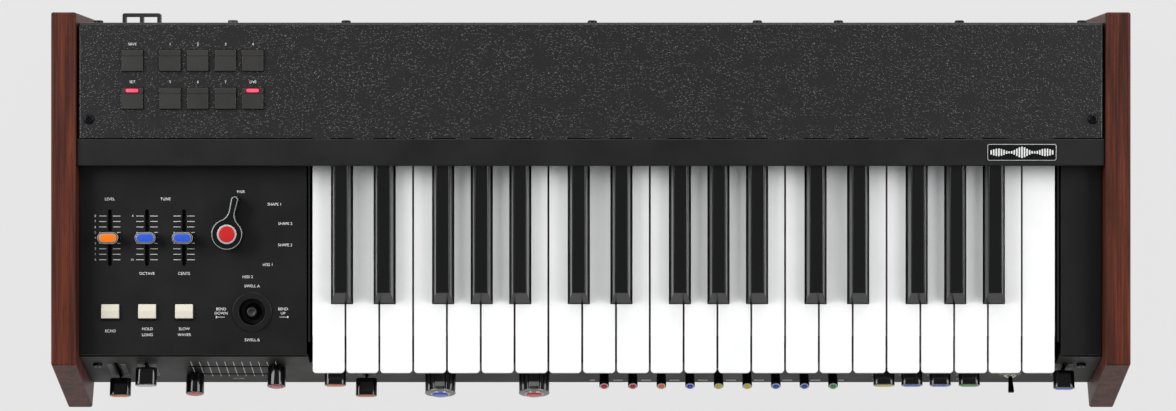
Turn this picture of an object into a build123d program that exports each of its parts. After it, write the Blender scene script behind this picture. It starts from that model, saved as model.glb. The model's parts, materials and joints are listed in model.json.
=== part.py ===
from build123d import *
import os
from math import asin, cos, degrees, radians, sin, tan

# A three-octave desktop synthesizer: 37 keys between two wooden cheeks, a control panel to the
# left of the keys and a row of sliders, knobs and switches on the sloped front under them.
# Millimetres. +X is the player's right, +Y is away from the player, +Z is up.
# The origin is on the table, under the middle of the instrument's outline.

# ---- driving dimensions ------------------------------------------------------------------------
DEPTH = 282.4            # nose of the cheeks to the back of the cable hook
HEIGHT = 145.0           # table to the top of the cheeks
FOOT_HEIGHT = 12.0       # table to the underside of the base
FOOT_RADIUS = 11.0
SHEET = 1.5              # folded steel of the base, cover and nameboard
PANEL = 2.0              # plate of the control, right and front panels
GAP = 0.4                # assembly clearance between fixed pieces

# cheeks
CHEEK = 17.5             # thickness
CHEEK_EDGE = 1.5         # rounding along every edge
CHEEK_TOP_SET_BACK = 34.4
CHEEK_UNDER_RUN = 65.4   # run of the sloped underside behind the nose
NOSE_HEIGHT = 54.0       # table to the nose
CHEEK_BACK_MARGIN = 1.0  # how far the cable hook stands out behind the cheeks

# widths across the instrument, from the left
LEFT_BAY = 163.6         # left cheek to the first key
RIGHT_BAY = 32.7         # last key to the right cheek
WHITE_KEYS = 22
KEY_PITCH = 23.85
PANEL_TO_KEYS = 3.5      # control panel's edge to the first key's place

# heights below the top of the cheeks
COVER_DROP = 3.0
PANEL_DROP = 18.0
KEY_DROP = 20.0

# lengths along the instrument, from the back
WALL_INSET = 8.8         # rear wall inside the backs of the cheeks
COVER_OVERLAP = 1.8      # rear cover's skin outside the rear wall
COVER_LENGTH = 81.0
COVER_SKIRT = 15.0       # depth of the cover's bent sides
STRIP_LENGTH = 19.1      # nameboard strip in front of the cover
STRIP_JOINT = 0.5        # open line between cover and strip

# keys
KEY_GAP = 1.4
KEY_TRAVEL = 9.5         # at the front edge
KEY_OVERHANG = 11.6      # keys stand out past the front panel's top edge
HEAD_LENGTH = 48.7       # wide part of a white key, in front of the black keys
LIP = 4.5                # thickness of a white key's overhanging lip
LIP_LENGTH = 26.0
KEY_BODY = 18.0          # height of the hollow part of a key
KEY_WALL = 2.0
KEY_SKIN = 2.5
KEY_CORNER = 2.5
NOTCH = 15.65            # room for a black key
BLACK_SIDE_GAP = 0.72
BLACK_BASE_HEIGHT = 1.0  # black key's flank begins to lean in this high above the whites
BLACK_TOP_WIDTH = 9.5
BLACK_RISE = 12.0        # black key above white key
BLACK_FRONT_RUN = 7.5    # sloped front of a black key
PIVOT_BEHIND_STRIP = 20.3
PIVOT_DROP = 13.0        # hinge rod below the white keys' tops
PIVOT_ROD = 2.0          # radius
RUNNING_FIT = 0.05
HINGE_BLOCK = 12.0

# front panel
FRONT_SLOPE = 17.0       # degrees from upright
FRONT_TOP_Y_INSET = 39.4 # top edge behind the noses of the cheeks
FRONT_LENGTH = 72.0      # along the slope
FRONT_FOOT = 8.0         # flange folded inwards at the lower edge
PAN_OVER_FOOT = 3.2      # floor of the base reaches this far forward over the flange
PAN_CLEARANCE = 0.19     # floor of the base above the flange's inner edge
LIP_CLEARANCE = 1.3      # panel's edge under a pressed key

# sliders
SLOT_WIDTH = 2.8
SLIDER_TRAVEL = 30.0
FILTER_TRAVEL = 60.0
SLOT_MARGIN = 6.0        # slot longer than the travel
STEM_WIDTH = 1.4
STEM_LENGTH = 4.0
STEM_DIP = 3.0           # stem inside the slide pot, behind the panel
POT_WIDTH = 9.0
POT_DEPTH = 7.0
POT_END = 7.5            # pot longer than the travel, at each end
BOARD = 1.6
CAP_WIDTH = 15.2
CAP_DEPTH = 8.8
PANEL_CAP = (2.0, 12.0)  # underside and face of a control-panel cap, above the panel
FRONT_CAP = (2.9, 15.8)   # and of a front-panel cap
FRONT_CAP_DEPTH = 8.0
INSERT_INSET = 1.5       # coloured insert inside the cap's edge
INSERT_RISE = 0.6        # height of the insert on the cap
CAP_TO_WINDOW = 1.5      # front caps, at the top of their travel, to the keys' window
SWITCH_STEP = 15.1       # knobs and toggles below the sliders' top position
FILTER_STEPS = (5.7, 26.6)
FILTER_CAP_RADIUS = 6.5
FILTER_CAP = (1.0, 15.2)

# rotary knobs, toggles, rockers, joystick, buttons
SHAFT = 3.0              # radius
SHAFT_HOLE = 3.6
SELECTOR_RADIUS = 11.3
SELECTOR_REACH = 27.7
SELECTOR_TIP = 2.9       # radius of the pointer's tip
SELECTOR_HEIGHT = 15.0
SELECTOR_AIM = 12.9      # degrees clockwise from straight back
ROTARY_RADIUS = 11.0
ROTARY_FACE = 17.5
ROTARY_POINTER = (6.8, 17.0)
TOGGLE_BARREL = 3.5      # radius
TOGGLE_LIFT = 25.0       # degrees above square to the panel, and below it at the other end
TOGGLES = 9
TOGGLE_PITCH = 0.8533    # in key pitches
TOGGLE_PIVOT = 2.0       # behind the panel
TOGGLE_NECK = 3.0
TOGGLE_NECK_TOP = 8.0    # above the pivot
TOGGLE_LENGTH = 21.0     # pivot to tip
PIN = 0.8                # radius of the toggles', rockers' and joystick's pins
BAT_LIFT = 12.0
BAT_LENGTH = 16.0
BAT_STEP = 10.4          # bat switch below the knobs and toggles
BAT_PIVOT = 1.0          # behind the panel's face
BAT_BUSHING = 3.0        # radius
BAT_BORE = 2.2
ROCKER_OPENING = (13.1, 11.6)
ROCKER_SIDE_GAP = 0.35
ROCKER_HALF = 5.0
ROCKER_TILT = 8.0
ROCKER_PIVOT = 0.2       # panel's underside to the pins
ROCKER_PIN = 1.2         # how far each pin stands out
ROCKER_TOP = 6.2         # ridge above the pivot
STICK_RADIUS = 3.5
STICK_PIVOT = 15.0       # below the panel's face
STICK_TOP = 5.0          # above the panel's face
STICK_HOLE = 9.05        # radius
GIMBAL = (6.0, 9.0, 4.0)  # inner radius, outer radius and height of the joystick's ring
BEZEL_RADIUS = 14.1
BEZEL_RISE = 1.2
BUTTON = 15.0
BUTTON_HOLE = 15.6
BUTTON_TRAVEL = 1.2
BUTTON_RISE = 2.2        # button's face above the cover
BUTTON_WINDOW = 4.2      # window strip along the back of a button
BUTTON_GROOVE = 0.4

# key frame
FRAME_PLATE = 1.2
FRAME_DROP = 12.0        # bed below the stop rail
RAIL_SPAN = 17.2         # width of the stop rail
SPRING = (5.0, 51.0, 0.4)
SPRING_TO_KEY = 6.0
LUG = 0.8
POST = 12.0              # side of the posts under the bed
POST_INSET = 20.0        # outer posts inside the ends of the keyboard
POST_TO_TANK = 26.5      # middle posts to the reverb tank beside them

# back
SMALL_BUSHING = 3.0      # radii
SMALL_BORE = 1.8
SMALL_JACK = (14.0, 8.0, 9.0)   # depth of its bore, nut across flats, side of its body
LARGE_BUSHING = 5.0
LARGE_BORE = 3.25
LARGE_JACK = (26.0, 13.0, 16.0)
JACK_OUT = 3.2           # end of a bushing outside the wall
DIN_BODY = 8.8
DIN_RECESS = 7.2
DIN_DEPTH = 8.0
DIN_FLANGE = (26.0, 20.0, 1.2)
USB_SHELL = (12.0, 10.8)
USB_MOUTH = (8.6, 7.9)
USB_TONGUE = (5.6, 3.2)
USB_DEPTH = 10.0
POWER_IN_BODY = 5.5
POWER_IN_BORE = 3.0
POWER_IN_DEPTH = 9.0
POWER_BUTTON = 3.6
SOCKET_DROP = 38.0       # sockets below the tops of the cheeks
HOOK_WIDTH = 27.0
HOOK_HEIGHT = 8.0
HOOK_BAR = 2.4

# fasteners and feet
SCREW_HEAD = 3.4         # radii
SCREW_SHANK = 1.5
FOOT_STUD = 2.0
HOLE_FIT = 0.1           # a hole's radius over the radius of what goes through it

# badge and nameboard
BADGE = (49.0, 12.2, 0.8)
BADGE_CORNER = 1.6
LIP_OVER_KEYS = 3.4      # depth of the nameboard's lip over the keys

# reverb tank
TANK = (235.0, 52.0, 30.0)
TANK_PLATE = 1.0
TANK_PLACE = (210.5, 45.0)  # its middle, from the right cheek and from the rear wall
TANK_SPRING = (3.0, 2.2)  # outer and inner radius

# ---- places that follow ------------------------------------------------------------------------
KEYBED = WHITE_KEYS * KEY_PITCH
INNER = LEFT_BAY + KEYBED + RIGHT_BAY
X_IN = INNER / 2                       # inner face of the right cheek
X_KEYS = -X_IN + LEFT_BAY              # left edge of the first key's place
X_KEYS_END = X_KEYS + KEYBED
NOSE_Y = -DEPTH / 2
BACK_Y = DEPTH / 2 - CHEEK_BACK_MARGIN
WALL_Y = BACK_Y - WALL_INSET           # outer face of the rear wall
COVER_Z = HEIGHT - COVER_DROP
COVER_BACK_Y = WALL_Y + COVER_OVERLAP
COVER_FRONT_Y = COVER_BACK_Y - COVER_LENGTH
STRIP_BACK_Y = COVER_FRONT_Y - STRIP_JOINT
STRIP_FRONT_Y = STRIP_BACK_Y - STRIP_LENGTH
PANEL_Z = HEIGHT - PANEL_DROP
KEY_Z = HEIGHT - KEY_DROP
FRONT_TOP = (NOSE_Y + FRONT_TOP_Y_INSET, PANEL_Z - PANEL)
FRONT = Plane(
    origin=(0, *FRONT_TOP),
    x_dir=(1, 0, 0),
    z_dir=(0, -cos(radians(FRONT_SLOPE)), sin(radians(FRONT_SLOPE))),
)
KEY_FRONT_Y = FRONT_TOP[0] - KEY_OVERHANG
HEAD_END_Y = KEY_FRONT_Y + HEAD_LENGTH
PIVOT_Y = STRIP_BACK_Y + PIVOT_BEHIND_STRIP
PIVOT_Z = KEY_Z - PIVOT_DROP
KEY_ANGLE = degrees(asin(KEY_TRAVEL / (PIVOT_Y - KEY_FRONT_Y)))
KEY_BACK_Y = PIVOT_Y + HINGE_BLOCK / 2
LIP_END_Y = KEY_FRONT_Y + LIP_LENGTH
BLACK_FRONT_Y = HEAD_END_Y + 0.8
BLACK_END_Y = STRIP_FRONT_Y + 9.0
KEY_BAY = (X_KEYS - PANEL_TO_KEYS + 1, X_KEYS_END + PANEL_TO_KEYS - 1)
PRESSED_LIP_Z = KEY_Z - LIP - KEY_TRAVEL
KEY_WINDOW = (FRONT_TOP[1] - PRESSED_LIP_Z + LIP_CLEARANCE) / cos(radians(FRONT_SLOPE))
STOP_Z = KEY_Z - KEY_BODY - KEY_TRAVEL + 0.4
SPRING_Z = KEY_Z - KEY_BODY - SPRING_TO_KEY
FRAME_Z = STOP_Z - FRAME_DROP
FRAME_FRONT_Y = LIP_END_Y - 4.0
BASE_Z = FOOT_HEIGHT
WALL_TOP = COVER_Z - SHEET - 1.0
MAIN_BOARD_Z = BASE_Z + SHEET + 8.0
ROCKER_AXIS = -PANEL - ROCKER_PIVOT - PIN   # height of the rockers' pins, from the panel's face
CENTRE = (Align.CENTER, Align.CENTER, Align.MIN)


# ---- helpers -----------------------------------------------------------------------------------
def block(x, y, z):
    """A box from its low and high limits along each axis."""
    size = [high - low for low, high in (x, y, z)]
    middle = [(high + low) / 2 for low, high in (x, y, z)]
    return Pos(*middle) * Box(*size)


def along_x(points, x):
    """A solid with its outline drawn in Y and Z, between two places along X."""
    return extrude(Plane.YZ.offset(x[0]) * Polygon(*points, align=None), x[1] - x[0], dir=(1, 0, 0))


def peg(radius, low, high):
    """A cylinder on the Z axis between two heights."""
    return Pos(0, 0, low) * Cylinder(radius, high - low, align=CENTRE)


def prism(sketch, low, high):
    """A sketch made solid between two heights."""
    return Pos(0, 0, low) * extrude(sketch, high - low)


def hex_nut(across, low, high, bore):
    """A nut on the Z axis, measured across its flats."""
    outline = RegularPolygon(across / 2, 6, major_radius=False) - Circle(bore)
    return prism(outline, low, high)


def on_front(x, drop):
    """A place on the front panel: X, and how far down its slope from the top edge."""
    return FRONT.location * Pos(x, -drop, 0)


def on_panel(x, y):
    """A place on the control panel's face."""
    return Pos(x, y, PANEL_Z)


def write(name, pieces):
    """Writes one node: every solid of its pieces."""
    solids = [solid for piece in pieces for solid in piece.solids()]
    export_step(Compound(solids), f"parts/{name}.step")


# ---- where the controls are --------------------------------------------------------------------
PANEL_SLIDERS = [-X_IN + away for away in (21.5, 47.7, 73.8)]
PANEL_SLIDER_Y = STRIP_FRONT_Y - 50.5
SELECTOR = (-X_IN + 105.3, STRIP_FRONT_Y - 47.9)
ROCKERS = [-X_IN + away for away in (22.0, 48.0, 74.0)]
ROCKER_Y = STRIP_FRONT_Y - 102.9
STICK = (-X_IN + 121.8, STRIP_FRONT_Y - 102.7)
BUTTON_COLUMNS = [-X_IN + away for away in (39.2, 65.7, 85.1, 104.5, 123.7)]
BUTTON_ROWS = [COVER_BACK_Y - 26.7, COVER_BACK_Y - 53.2]
TOP_DROP = KEY_WINDOW + FRONT_CAP_DEPTH / 2 + CAP_TO_WINDOW
LOW_DROP = TOP_DROP + SLIDER_TRAVEL
MIDDLE_DROP = (TOP_DROP + LOW_DROP) / 2
SWITCH_DROP = TOP_DROP + SWITCH_STEP
BAT_DROP = SWITCH_DROP + BAT_STEP


def under_key(place):
    """X of a control under the keys, at a place counted in key pitches."""
    return X_KEYS + place * KEY_PITCH


FRONT_SLIDERS = {        # name: (X, drop at rest)
    "balance_slider": (-X_IN + 23.2, LOW_DROP),
    "level_slider": (-X_IN + 44.9, TOP_DROP),
    "depth_slider": (under_key(0.654), TOP_DROP),
    "rate_slider": (under_key(1.509), LOW_DROP),
    "attack_slider": (under_key(16.977), TOP_DROP),
    "decay_slider": (under_key(17.807), TOP_DROP),
    "hold_slider": (under_key(18.650), TOP_DROP),
    "release_slider": (under_key(19.514), TOP_DROP),
    "echo_slider": (X_IN - 23.8, TOP_DROP + 8.8),
}
FILTER_X = -X_IN + 77.0  # left end of the two long slots' travel
FILTER_DROPS = [TOP_DROP + step for step in FILTER_STEPS]
FILTER_SLIDERS = {       # name: (X at rest, drop)
    "upper_filter_slider": (FILTER_X + FILTER_TRAVEL, FILTER_DROPS[0]),
    "lower_filter_slider": (FILTER_X, FILTER_DROPS[1]),
}
ROTARIES = {"tone_knob": under_key(3.757), "sweep_knob": under_key(6.562)}
TOGGLE_X = [under_key(8.654 + TOGGLE_PITCH * i) for i in range(TOGGLES)]
BAT_X = under_key(20.855)
BADGE_X = X_IN - 58.5
FRONT_SCREWS = [(-X_IN + 10.2, 21.0), (X_IN - 12.2, 21.0)]
COVER_SCREWS = [(side * (X_IN - 8.7), COVER_FRONT_Y + 13.1) for side in (-1, 1)]
WALL_SCREWS = [-X_IN + away for away in (14.5, 188.5, 361.5)]
WALL_SCREWS += [X_IN - away for away in (243.5, 186.5, 101.5, 15.5)]
WALL_SCREW_Z = COVER_Z - COVER_SKIRT / 2 - 0.5
SOCKET_Z = HEIGHT - SOCKET_DROP
TANK_X = X_IN - TANK_PLACE[0]
MIDDLE_POST_X = TANK_X - TANK[0] / 2 - POST_TO_TANK - POST / 2
HOOK_X = -X_IN + 42.0
POWER_IN_X = -X_IN + 76.5
POWER_BUTTON_X = -X_IN + 106.5
SMALL_JACKS = [-X_IN + 129.5 + 24.4 * i for i in range(4)]
LARGE_JACKS = [-X_IN + 242.5 + 32.0 * i for i in range(3)]
DIN_X = -X_IN + 394.5
USB_X = -X_IN + 432.5
PAN_TURN = Vector(0, NOSE_Y + CHEEK_UNDER_RUN + 6.0, FOOT_HEIGHT)
FLANGE_EDGE = FRONT.from_local_coords((0, -FRONT_LENGTH + PANEL + PAN_CLEARANCE, -FRONT_FOOT))
PAN_FRONT = FLANGE_EDGE + (FLANGE_EDGE - PAN_TURN).normalized() * PAN_OVER_FOOT
FEET = [
    (side * (X_IN - 42.0), y)
    for side in (-1, 1)
    for y in (WALL_Y - 26.0, PAN_TURN.Y + FOOT_RADIUS + 4.0)
]


# ---- case --------------------------------------------------------------------------------------
def cheek(side):
    """A wooden end cheek: thick board, sloped front, nose and undercut."""
    outline = [
        (BACK_Y, FOOT_HEIGHT),
        (BACK_Y, HEIGHT),
        (NOSE_Y + CHEEK_TOP_SET_BACK, HEIGHT),
        (NOSE_Y, NOSE_HEIGHT),
        (NOSE_Y + CHEEK_UNDER_RUN, FOOT_HEIGHT),
    ]
    x = sorted((side * X_IN, side * (X_IN + CHEEK)))
    board = along_x(outline, x)
    return fillet(board.edges(), CHEEK_EDGE)


def wall_hole(x, z, radius):
    """A cutter through the rear wall."""
    return Pos(x, WALL_Y + 1, z) * Rot(90, 0, 0) * peg(radius, 0, SHEET + 2)


def rear_wall():
    """Plate across the back, with a hole for each socket and screw and its corners notched."""
    wall = block((-X_IN, X_IN), (WALL_Y - SHEET, WALL_Y), (BASE_Z + SHEET, WALL_TOP))
    for side in (-1, 1):
        corner = sorted((side * X_IN, side * (X_IN - 1.0 - SHEET - GAP)))
        wall -= block(corner, (WALL_Y - 2 * SHEET, WALL_Y + 1), (COVER_Z - COVER_SKIRT - GAP, COVER_Z))
    for x in SMALL_JACKS:
        wall -= wall_hole(x, SOCKET_Z, SMALL_BUSHING + HOLE_FIT)
    for x in LARGE_JACKS:
        wall -= wall_hole(x, SOCKET_Z, LARGE_BUSHING + HOLE_FIT)
    wall -= wall_hole(DIN_X, SOCKET_Z, DIN_BODY + HOLE_FIT)
    wall -= wall_hole(POWER_IN_X, SOCKET_Z, POWER_IN_BODY + HOLE_FIT)
    wall -= wall_hole(POWER_BUTTON_X, SOCKET_Z, POWER_BUTTON + GAP)
    mouth = [size + 2 * HOLE_FIT for size in USB_SHELL]
    wall -= Pos(USB_X, WALL_Y - SHEET / 2, SOCKET_Z) * Box(mouth[0], SHEET + 2, mouth[1])
    for x in WALL_SCREWS:
        wall -= wall_hole(x, WALL_SCREW_Z, SCREW_SHANK + HOLE_FIT)
    return wall


def base_pan():
    """Base of spot-welded sheet: floor with its undercut front, rear wall and two end walls."""
    front, turn = (PAN_FRONT.Y, PAN_FRONT.Z), (PAN_TURN.Y, PAN_TURN.Z)
    crease = (PAN_TURN.Y + 0.5, BASE_Z + SHEET)
    lip = (PAN_FRONT.Y, PAN_FRONT.Z + SHEET * 1.3)
    floor = along_x(
        [front, turn, (WALL_Y, BASE_Z), (WALL_Y, BASE_Z + SHEET), crease, lip], (-X_IN, X_IN)
    )
    for x, y in FEET:
        floor -= Pos(x, y, BASE_Z - 1) * peg(FOOT_STUD + HOLE_FIT, 0, SHEET + 2)
    top = PANEL_Z - PANEL - GAP
    end = [(WALL_Y - SHEET, BASE_Z + SHEET), (WALL_Y - SHEET, top), (FRONT_TOP[0] + 8.0, top), lip, crease]
    ends = [along_x(end, sorted((side * X_IN, side * (X_IN - SHEET)))) for side in (-1, 1)]
    return [floor, rear_wall()] + ends


def rear_cover():
    """Steel cover with bent sides and back, and square openings for the memory buttons."""
    half = X_IN - 1.0
    z = (COVER_Z - COVER_SKIRT, COVER_Z)
    outer = block((-half, half), (COVER_FRONT_Y, COVER_BACK_Y), z)
    bends = outer.edges().filter_by(Axis.Y).group_by(Axis.Z)[-1]
    bends += outer.edges().filter_by(Axis.X).group_by(Axis.Z)[-1].sort_by(Axis.Y)[-1:]
    outer = fillet(bends, 2.2)
    inner = block(
        (-half + SHEET, half - SHEET),
        (COVER_FRONT_Y - 1, COVER_BACK_Y - SHEET),
        (COVER_Z - COVER_SKIRT - 1, COVER_Z - SHEET),
    )
    cover = outer - inner
    for x in BUTTON_COLUMNS:
        for y in BUTTON_ROWS:
            cover -= Pos(x, y, COVER_Z) * Box(BUTTON_HOLE, BUTTON_HOLE, 4 * SHEET)
    for x, y in COVER_SCREWS:
        cover -= Pos(x, y, COVER_Z) * peg(SCREW_SHANK + HOLE_FIT, -2 * SHEET, 1)
    for x in WALL_SCREWS:
        hole = peg(SCREW_SHANK + HOLE_FIT, 0, SHEET + 2)
        cover -= Pos(x, COVER_BACK_Y + 1, WALL_SCREW_Z) * Rot(90, 0, 0) * hole
    return cover


def nameboard():
    """Folded strip over the back of the keys; its lip is deeper beside the keys than over them."""
    y = (STRIP_FRONT_Y, STRIP_BACK_Y)
    x = (-X_IN + GAP, X_IN - GAP)
    lip_z = PANEL_Z + GAP
    strip = block(x, y, (COVER_Z - SHEET, COVER_Z))
    strip += block(x, (y[0], y[0] + SHEET), (lip_z, COVER_Z))
    strip += block(x, (y[1] - SHEET, y[1]), (lip_z + 4, COVER_Z))
    crest = strip.edges().filter_by(Axis.X).group_by(Axis.Z)[-1]
    strip = fillet(crest, 1.0)
    strip -= block(KEY_BAY, (y[0] - 1, y[1] + 1), (lip_z - 1, COVER_Z - LIP_OVER_KEYS))
    plate = prism(RectangleRounded(BADGE[0], BADGE[1], BADGE_CORNER), 0, BADGE[2])
    badge = Pos(BADGE_X, (y[0] + y[1]) / 2, COVER_Z) * plate
    return [strip, badge]


def control_panel():
    """Plate to the left of the keys, with its slots and openings, and the joystick's bezel."""
    x = (-X_IN + GAP, X_KEYS - PANEL_TO_KEYS)
    y = (FRONT_TOP[0] + 1.3, STRIP_BACK_Y - 6.0)
    plate = block(x, y, (PANEL_Z - PANEL, PANEL_Z))
    plate = fillet(plate.edges().filter_by(Axis.X).group_by(Axis.Z)[-1].sort_by(Axis.Y)[:1], 0.8)
    slot = SlotOverall(SLIDER_TRAVEL + SLOT_MARGIN + STEM_LENGTH, SLOT_WIDTH, rotation=90)
    for slider_x in PANEL_SLIDERS:
        plate -= on_panel(slider_x, PANEL_SLIDER_Y) * prism(slot, -PANEL - 1, 1)
    plate -= on_panel(*SELECTOR) * peg(SHAFT_HOLE, -PANEL - 1, 1)
    for rocker_x in ROCKERS:
        plate -= on_panel(rocker_x, ROCKER_Y) * prism(Rectangle(*ROCKER_OPENING), -PANEL - 1, 1)
    plate -= on_panel(*STICK) * peg(STICK_HOLE, -PANEL - 1, 1)
    ring = peg(BEZEL_RADIUS, 0, BEZEL_RISE) - peg(STICK_HOLE, -1, BEZEL_RISE + 1)
    ring = chamfer(ring.edges().group_by(Axis.Z)[-1], 0.5)
    return [plate, on_panel(*STICK) * ring]


def right_panel():
    """Plain plate to the right of the keys."""
    x = (X_KEYS_END + PANEL_TO_KEYS, X_IN - GAP)
    y = (FRONT_TOP[0] + 1.3, STRIP_BACK_Y - 6.0)
    plate = block(x, y, (PANEL_Z - PANEL, PANEL_Z))
    return fillet(plate.edges().filter_by(Axis.X).group_by(Axis.Z)[-1].sort_by(Axis.Y)[:1], 0.8)


def front_slot(x, drop, travel, upright):
    """A cutter for a slider's slot in the front panel, centred on its travel."""
    turn = 90 if upright else 0
    slot = SlotOverall(travel + SLOT_MARGIN + STEM_LENGTH * upright, SLOT_WIDTH, rotation=turn)
    return on_front(x, drop) * prism(slot, -PANEL - 1, 1)


def front_panel():
    """Sloped front, with a foot folded under it and its top cut down where the keys overhang."""
    half = X_IN - GAP
    plate = FRONT.location * block((-half, half), (-FRONT_LENGTH, 0), (-PANEL, 0))
    foot = (-FRONT_LENGTH, -FRONT_LENGTH + PANEL)
    plate += FRONT.location * block((-half, half), foot, (-FRONT_FOOT, 0))
    plate -= FRONT.location * block(KEY_BAY, (-KEY_WINDOW, 5), (-PANEL - 1, 1))
    for x, _ in FRONT_SLIDERS.values():
        plate -= front_slot(x, MIDDLE_DROP, SLIDER_TRAVEL, True)
    for drop in FILTER_DROPS:
        plate -= front_slot(FILTER_X + FILTER_TRAVEL / 2, drop, FILTER_TRAVEL, False)
    for x in ROTARIES.values():
        plate -= on_front(x, SWITCH_DROP) * peg(SHAFT_HOLE, -PANEL - 1, 1)
    for x in TOGGLE_X:
        plate -= on_front(x, SWITCH_DROP) * prism(SlotOverall(9.4, 4.4, rotation=90), -PANEL - 1, 1)
    plate -= on_front(BAT_X, BAT_DROP) * peg(BAT_BUSHING + HOLE_FIT, -PANEL - 1, 1)
    for x, drop in FRONT_SCREWS:
        plate -= on_front(x, drop) * peg(SCREW_SHANK + HOLE_FIT, -PANEL - 1, 1)
    return plate


# ---- keys --------------------------------------------------------------------------------------
NOTES = ["c", "c_sharp", "d", "d_sharp", "e", "f", "f_sharp", "g", "g_sharp", "a", "a_sharp", "b"]
WHITE_PLACE = {"c": 0, "d": 1, "e": 2, "f": 3, "g": 4, "a": 5, "b": 6}
BLACK_CENTRE = {"c_sharp": 0.90, "d_sharp": 2.16, "f_sharp": 3.89, "g_sharp": 5.03, "a_sharp": 6.17}
OCTAVE = 7               # white keys in an octave
OCTAVES = 3


def tail_limits(place, top_note):
    """Left and right sides of a white key's tail, between the black keys beside it."""
    left = place * KEY_PITCH + KEY_GAP / 2
    right = (place + 1) * KEY_PITCH - KEY_GAP / 2
    for centre in () if top_note else BLACK_CENTRE.values():
        low = centre * KEY_PITCH - NOTCH / 2
        high = centre * KEY_PITCH + NOTCH / 2
        if low < right < high:
            right = low
        if low < left < high:
            left = high
    return left, right


def hollow(outline, low, high, skin, wall):
    """A shell with the given plan, open at the bottom."""
    shell = prism(outline, low, high)
    room = offset(outline, -wall, kind=Kind.INTERSECTION)
    return shell - prism(room, low - 1, high - skin)


def hinge_block(left, right):
    """The solid rear end of a key, bored for the hinge rod."""
    return block((left, right), (KEY_BACK_Y - HINGE_BLOCK, KEY_BACK_Y), (KEY_Z - KEY_BODY, KEY_Z))


def hinge_bore(left, right):
    """The cutter for a key's hinge bore."""
    bore = peg(PIVOT_ROD + RUNNING_FIT, 0, right - left + 2)
    return Pos(left - 1, PIVOT_Y, PIVOT_Z) * Rot(0, 90, 0) * bore


def white_key(place, top_note=False):
    """A white key at a place counted in white keys from the octave's start."""
    left = place * KEY_PITCH + KEY_GAP / 2
    right = (place + 1) * KEY_PITCH - KEY_GAP / 2
    tail_left, tail_right = tail_limits(place, top_note)
    head = block((left, right), (KEY_FRONT_Y, HEAD_END_Y), (KEY_Z - LIP, KEY_Z))
    head = fillet(head.edges().filter_by(Axis.Z).sort_by(Axis.Y)[:2], KEY_CORNER)
    head = fillet(head.faces().sort_by(Axis.Z)[-1].edges().sort_by(Axis.Y)[:5], 0.8)
    plan = white_plan(left, right, tail_left, tail_right)
    body = hollow(plan, KEY_Z - KEY_BODY, KEY_Z, KEY_SKIN, KEY_WALL)
    key = head + body + hinge_block(tail_left, tail_right)
    return key - hinge_bore(tail_left, tail_right)


def white_plan(left, right, tail_left, tail_right):
    """Plan of a white key behind its lip: wide in front, and as wide as its tail behind."""
    points = [(left, LIP_END_Y), (right, LIP_END_Y)]
    if tail_right < right:
        points += [(right, HEAD_END_Y), (tail_right, HEAD_END_Y)]
    points += [(tail_right, KEY_BACK_Y), (tail_left, KEY_BACK_Y)]
    if tail_left > left:
        points += [(tail_left, HEAD_END_Y), (left, HEAD_END_Y)]
    return Polygon(*points, align=None)


def black_key(centre):
    """A black key: leaning flanks and front on a plain base, hollow underneath."""
    x = centre * KEY_PITCH
    half = NOTCH / 2 - BLACK_SIDE_GAP
    left, right = x - half, x + half
    shoulder = KEY_Z + BLACK_BASE_HEIGHT
    top = KEY_Z + BLACK_RISE
    side = [
        (BLACK_FRONT_Y, KEY_Z - LIP), (BLACK_FRONT_Y, shoulder), (BLACK_FRONT_Y + BLACK_FRONT_RUN, top),
        (BLACK_END_Y, top), (BLACK_END_Y, KEY_Z - LIP),
    ]
    across = [
        (left, KEY_Z - LIP), (left, shoulder), (x - BLACK_TOP_WIDTH / 2, top),
        (x + BLACK_TOP_WIDTH / 2, top), (right, shoulder), (right, KEY_Z - LIP),
    ]
    face = Plane.XZ.offset(-BLACK_END_Y) * Polygon(*across, align=None)
    bar = extrude(face, BLACK_END_Y - BLACK_FRONT_Y, dir=(0, -1, 0))
    cap = bar & along_x(side, (left - 1, right + 1))
    cap = fillet(cap.faces().sort_by(Axis.Z)[-1].edges(), 1.0)
    room = block(
        (x - BLACK_TOP_WIDTH / 2 + KEY_WALL, x + BLACK_TOP_WIDTH / 2 - KEY_WALL),
        (BLACK_FRONT_Y + BLACK_FRONT_RUN, BLACK_END_Y - KEY_WALL),
        (KEY_Z - LIP - 1, top - KEY_SKIN),
    )
    plan = Pos(x, (BLACK_FRONT_Y + KEY_BACK_Y) / 2) * Rectangle(right - left, KEY_BACK_Y - BLACK_FRONT_Y)
    body = hollow(plan, KEY_Z - KEY_BODY, KEY_Z, KEY_SKIN, KEY_WALL)
    key = (cap + body) - room
    key += hinge_block(left, right)
    return key - hinge_bore(left, right)


def keys_of(note):
    """Every key of one note, as separate solids."""
    keys = []
    for octave in range(OCTAVES):
        shift = Pos(X_KEYS + octave * OCTAVE * KEY_PITCH, 0, 0)
        key = white_key(WHITE_PLACE[note]) if note in WHITE_PLACE else black_key(BLACK_CENTRE[note])
        keys.append(shift * key)
    if note == "c":
        shift = Pos(X_KEYS + OCTAVES * OCTAVE * KEY_PITCH, 0, 0)
        keys.append(shift * white_key(0, top_note=True))
    return keys


def cross_plate(y, z):
    """A plate of the key frame that runs from end plate to end plate."""
    return block((KEY_BAY[0] + FRAME_PLATE, KEY_BAY[1] - FRAME_PLATE), y, z)


def key_spring(place, rail_y):
    """A leaf spring riveted on the rear rail that reaches forward under one key."""
    width, length, thick = SPRING
    x = X_KEYS + place * KEY_PITCH
    y = (rail_y + 5.0 - length, rail_y + 5.0)
    return block((x - width / 2, x + width / 2), y, (SPRING_Z, SPRING_Z + thick))


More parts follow.
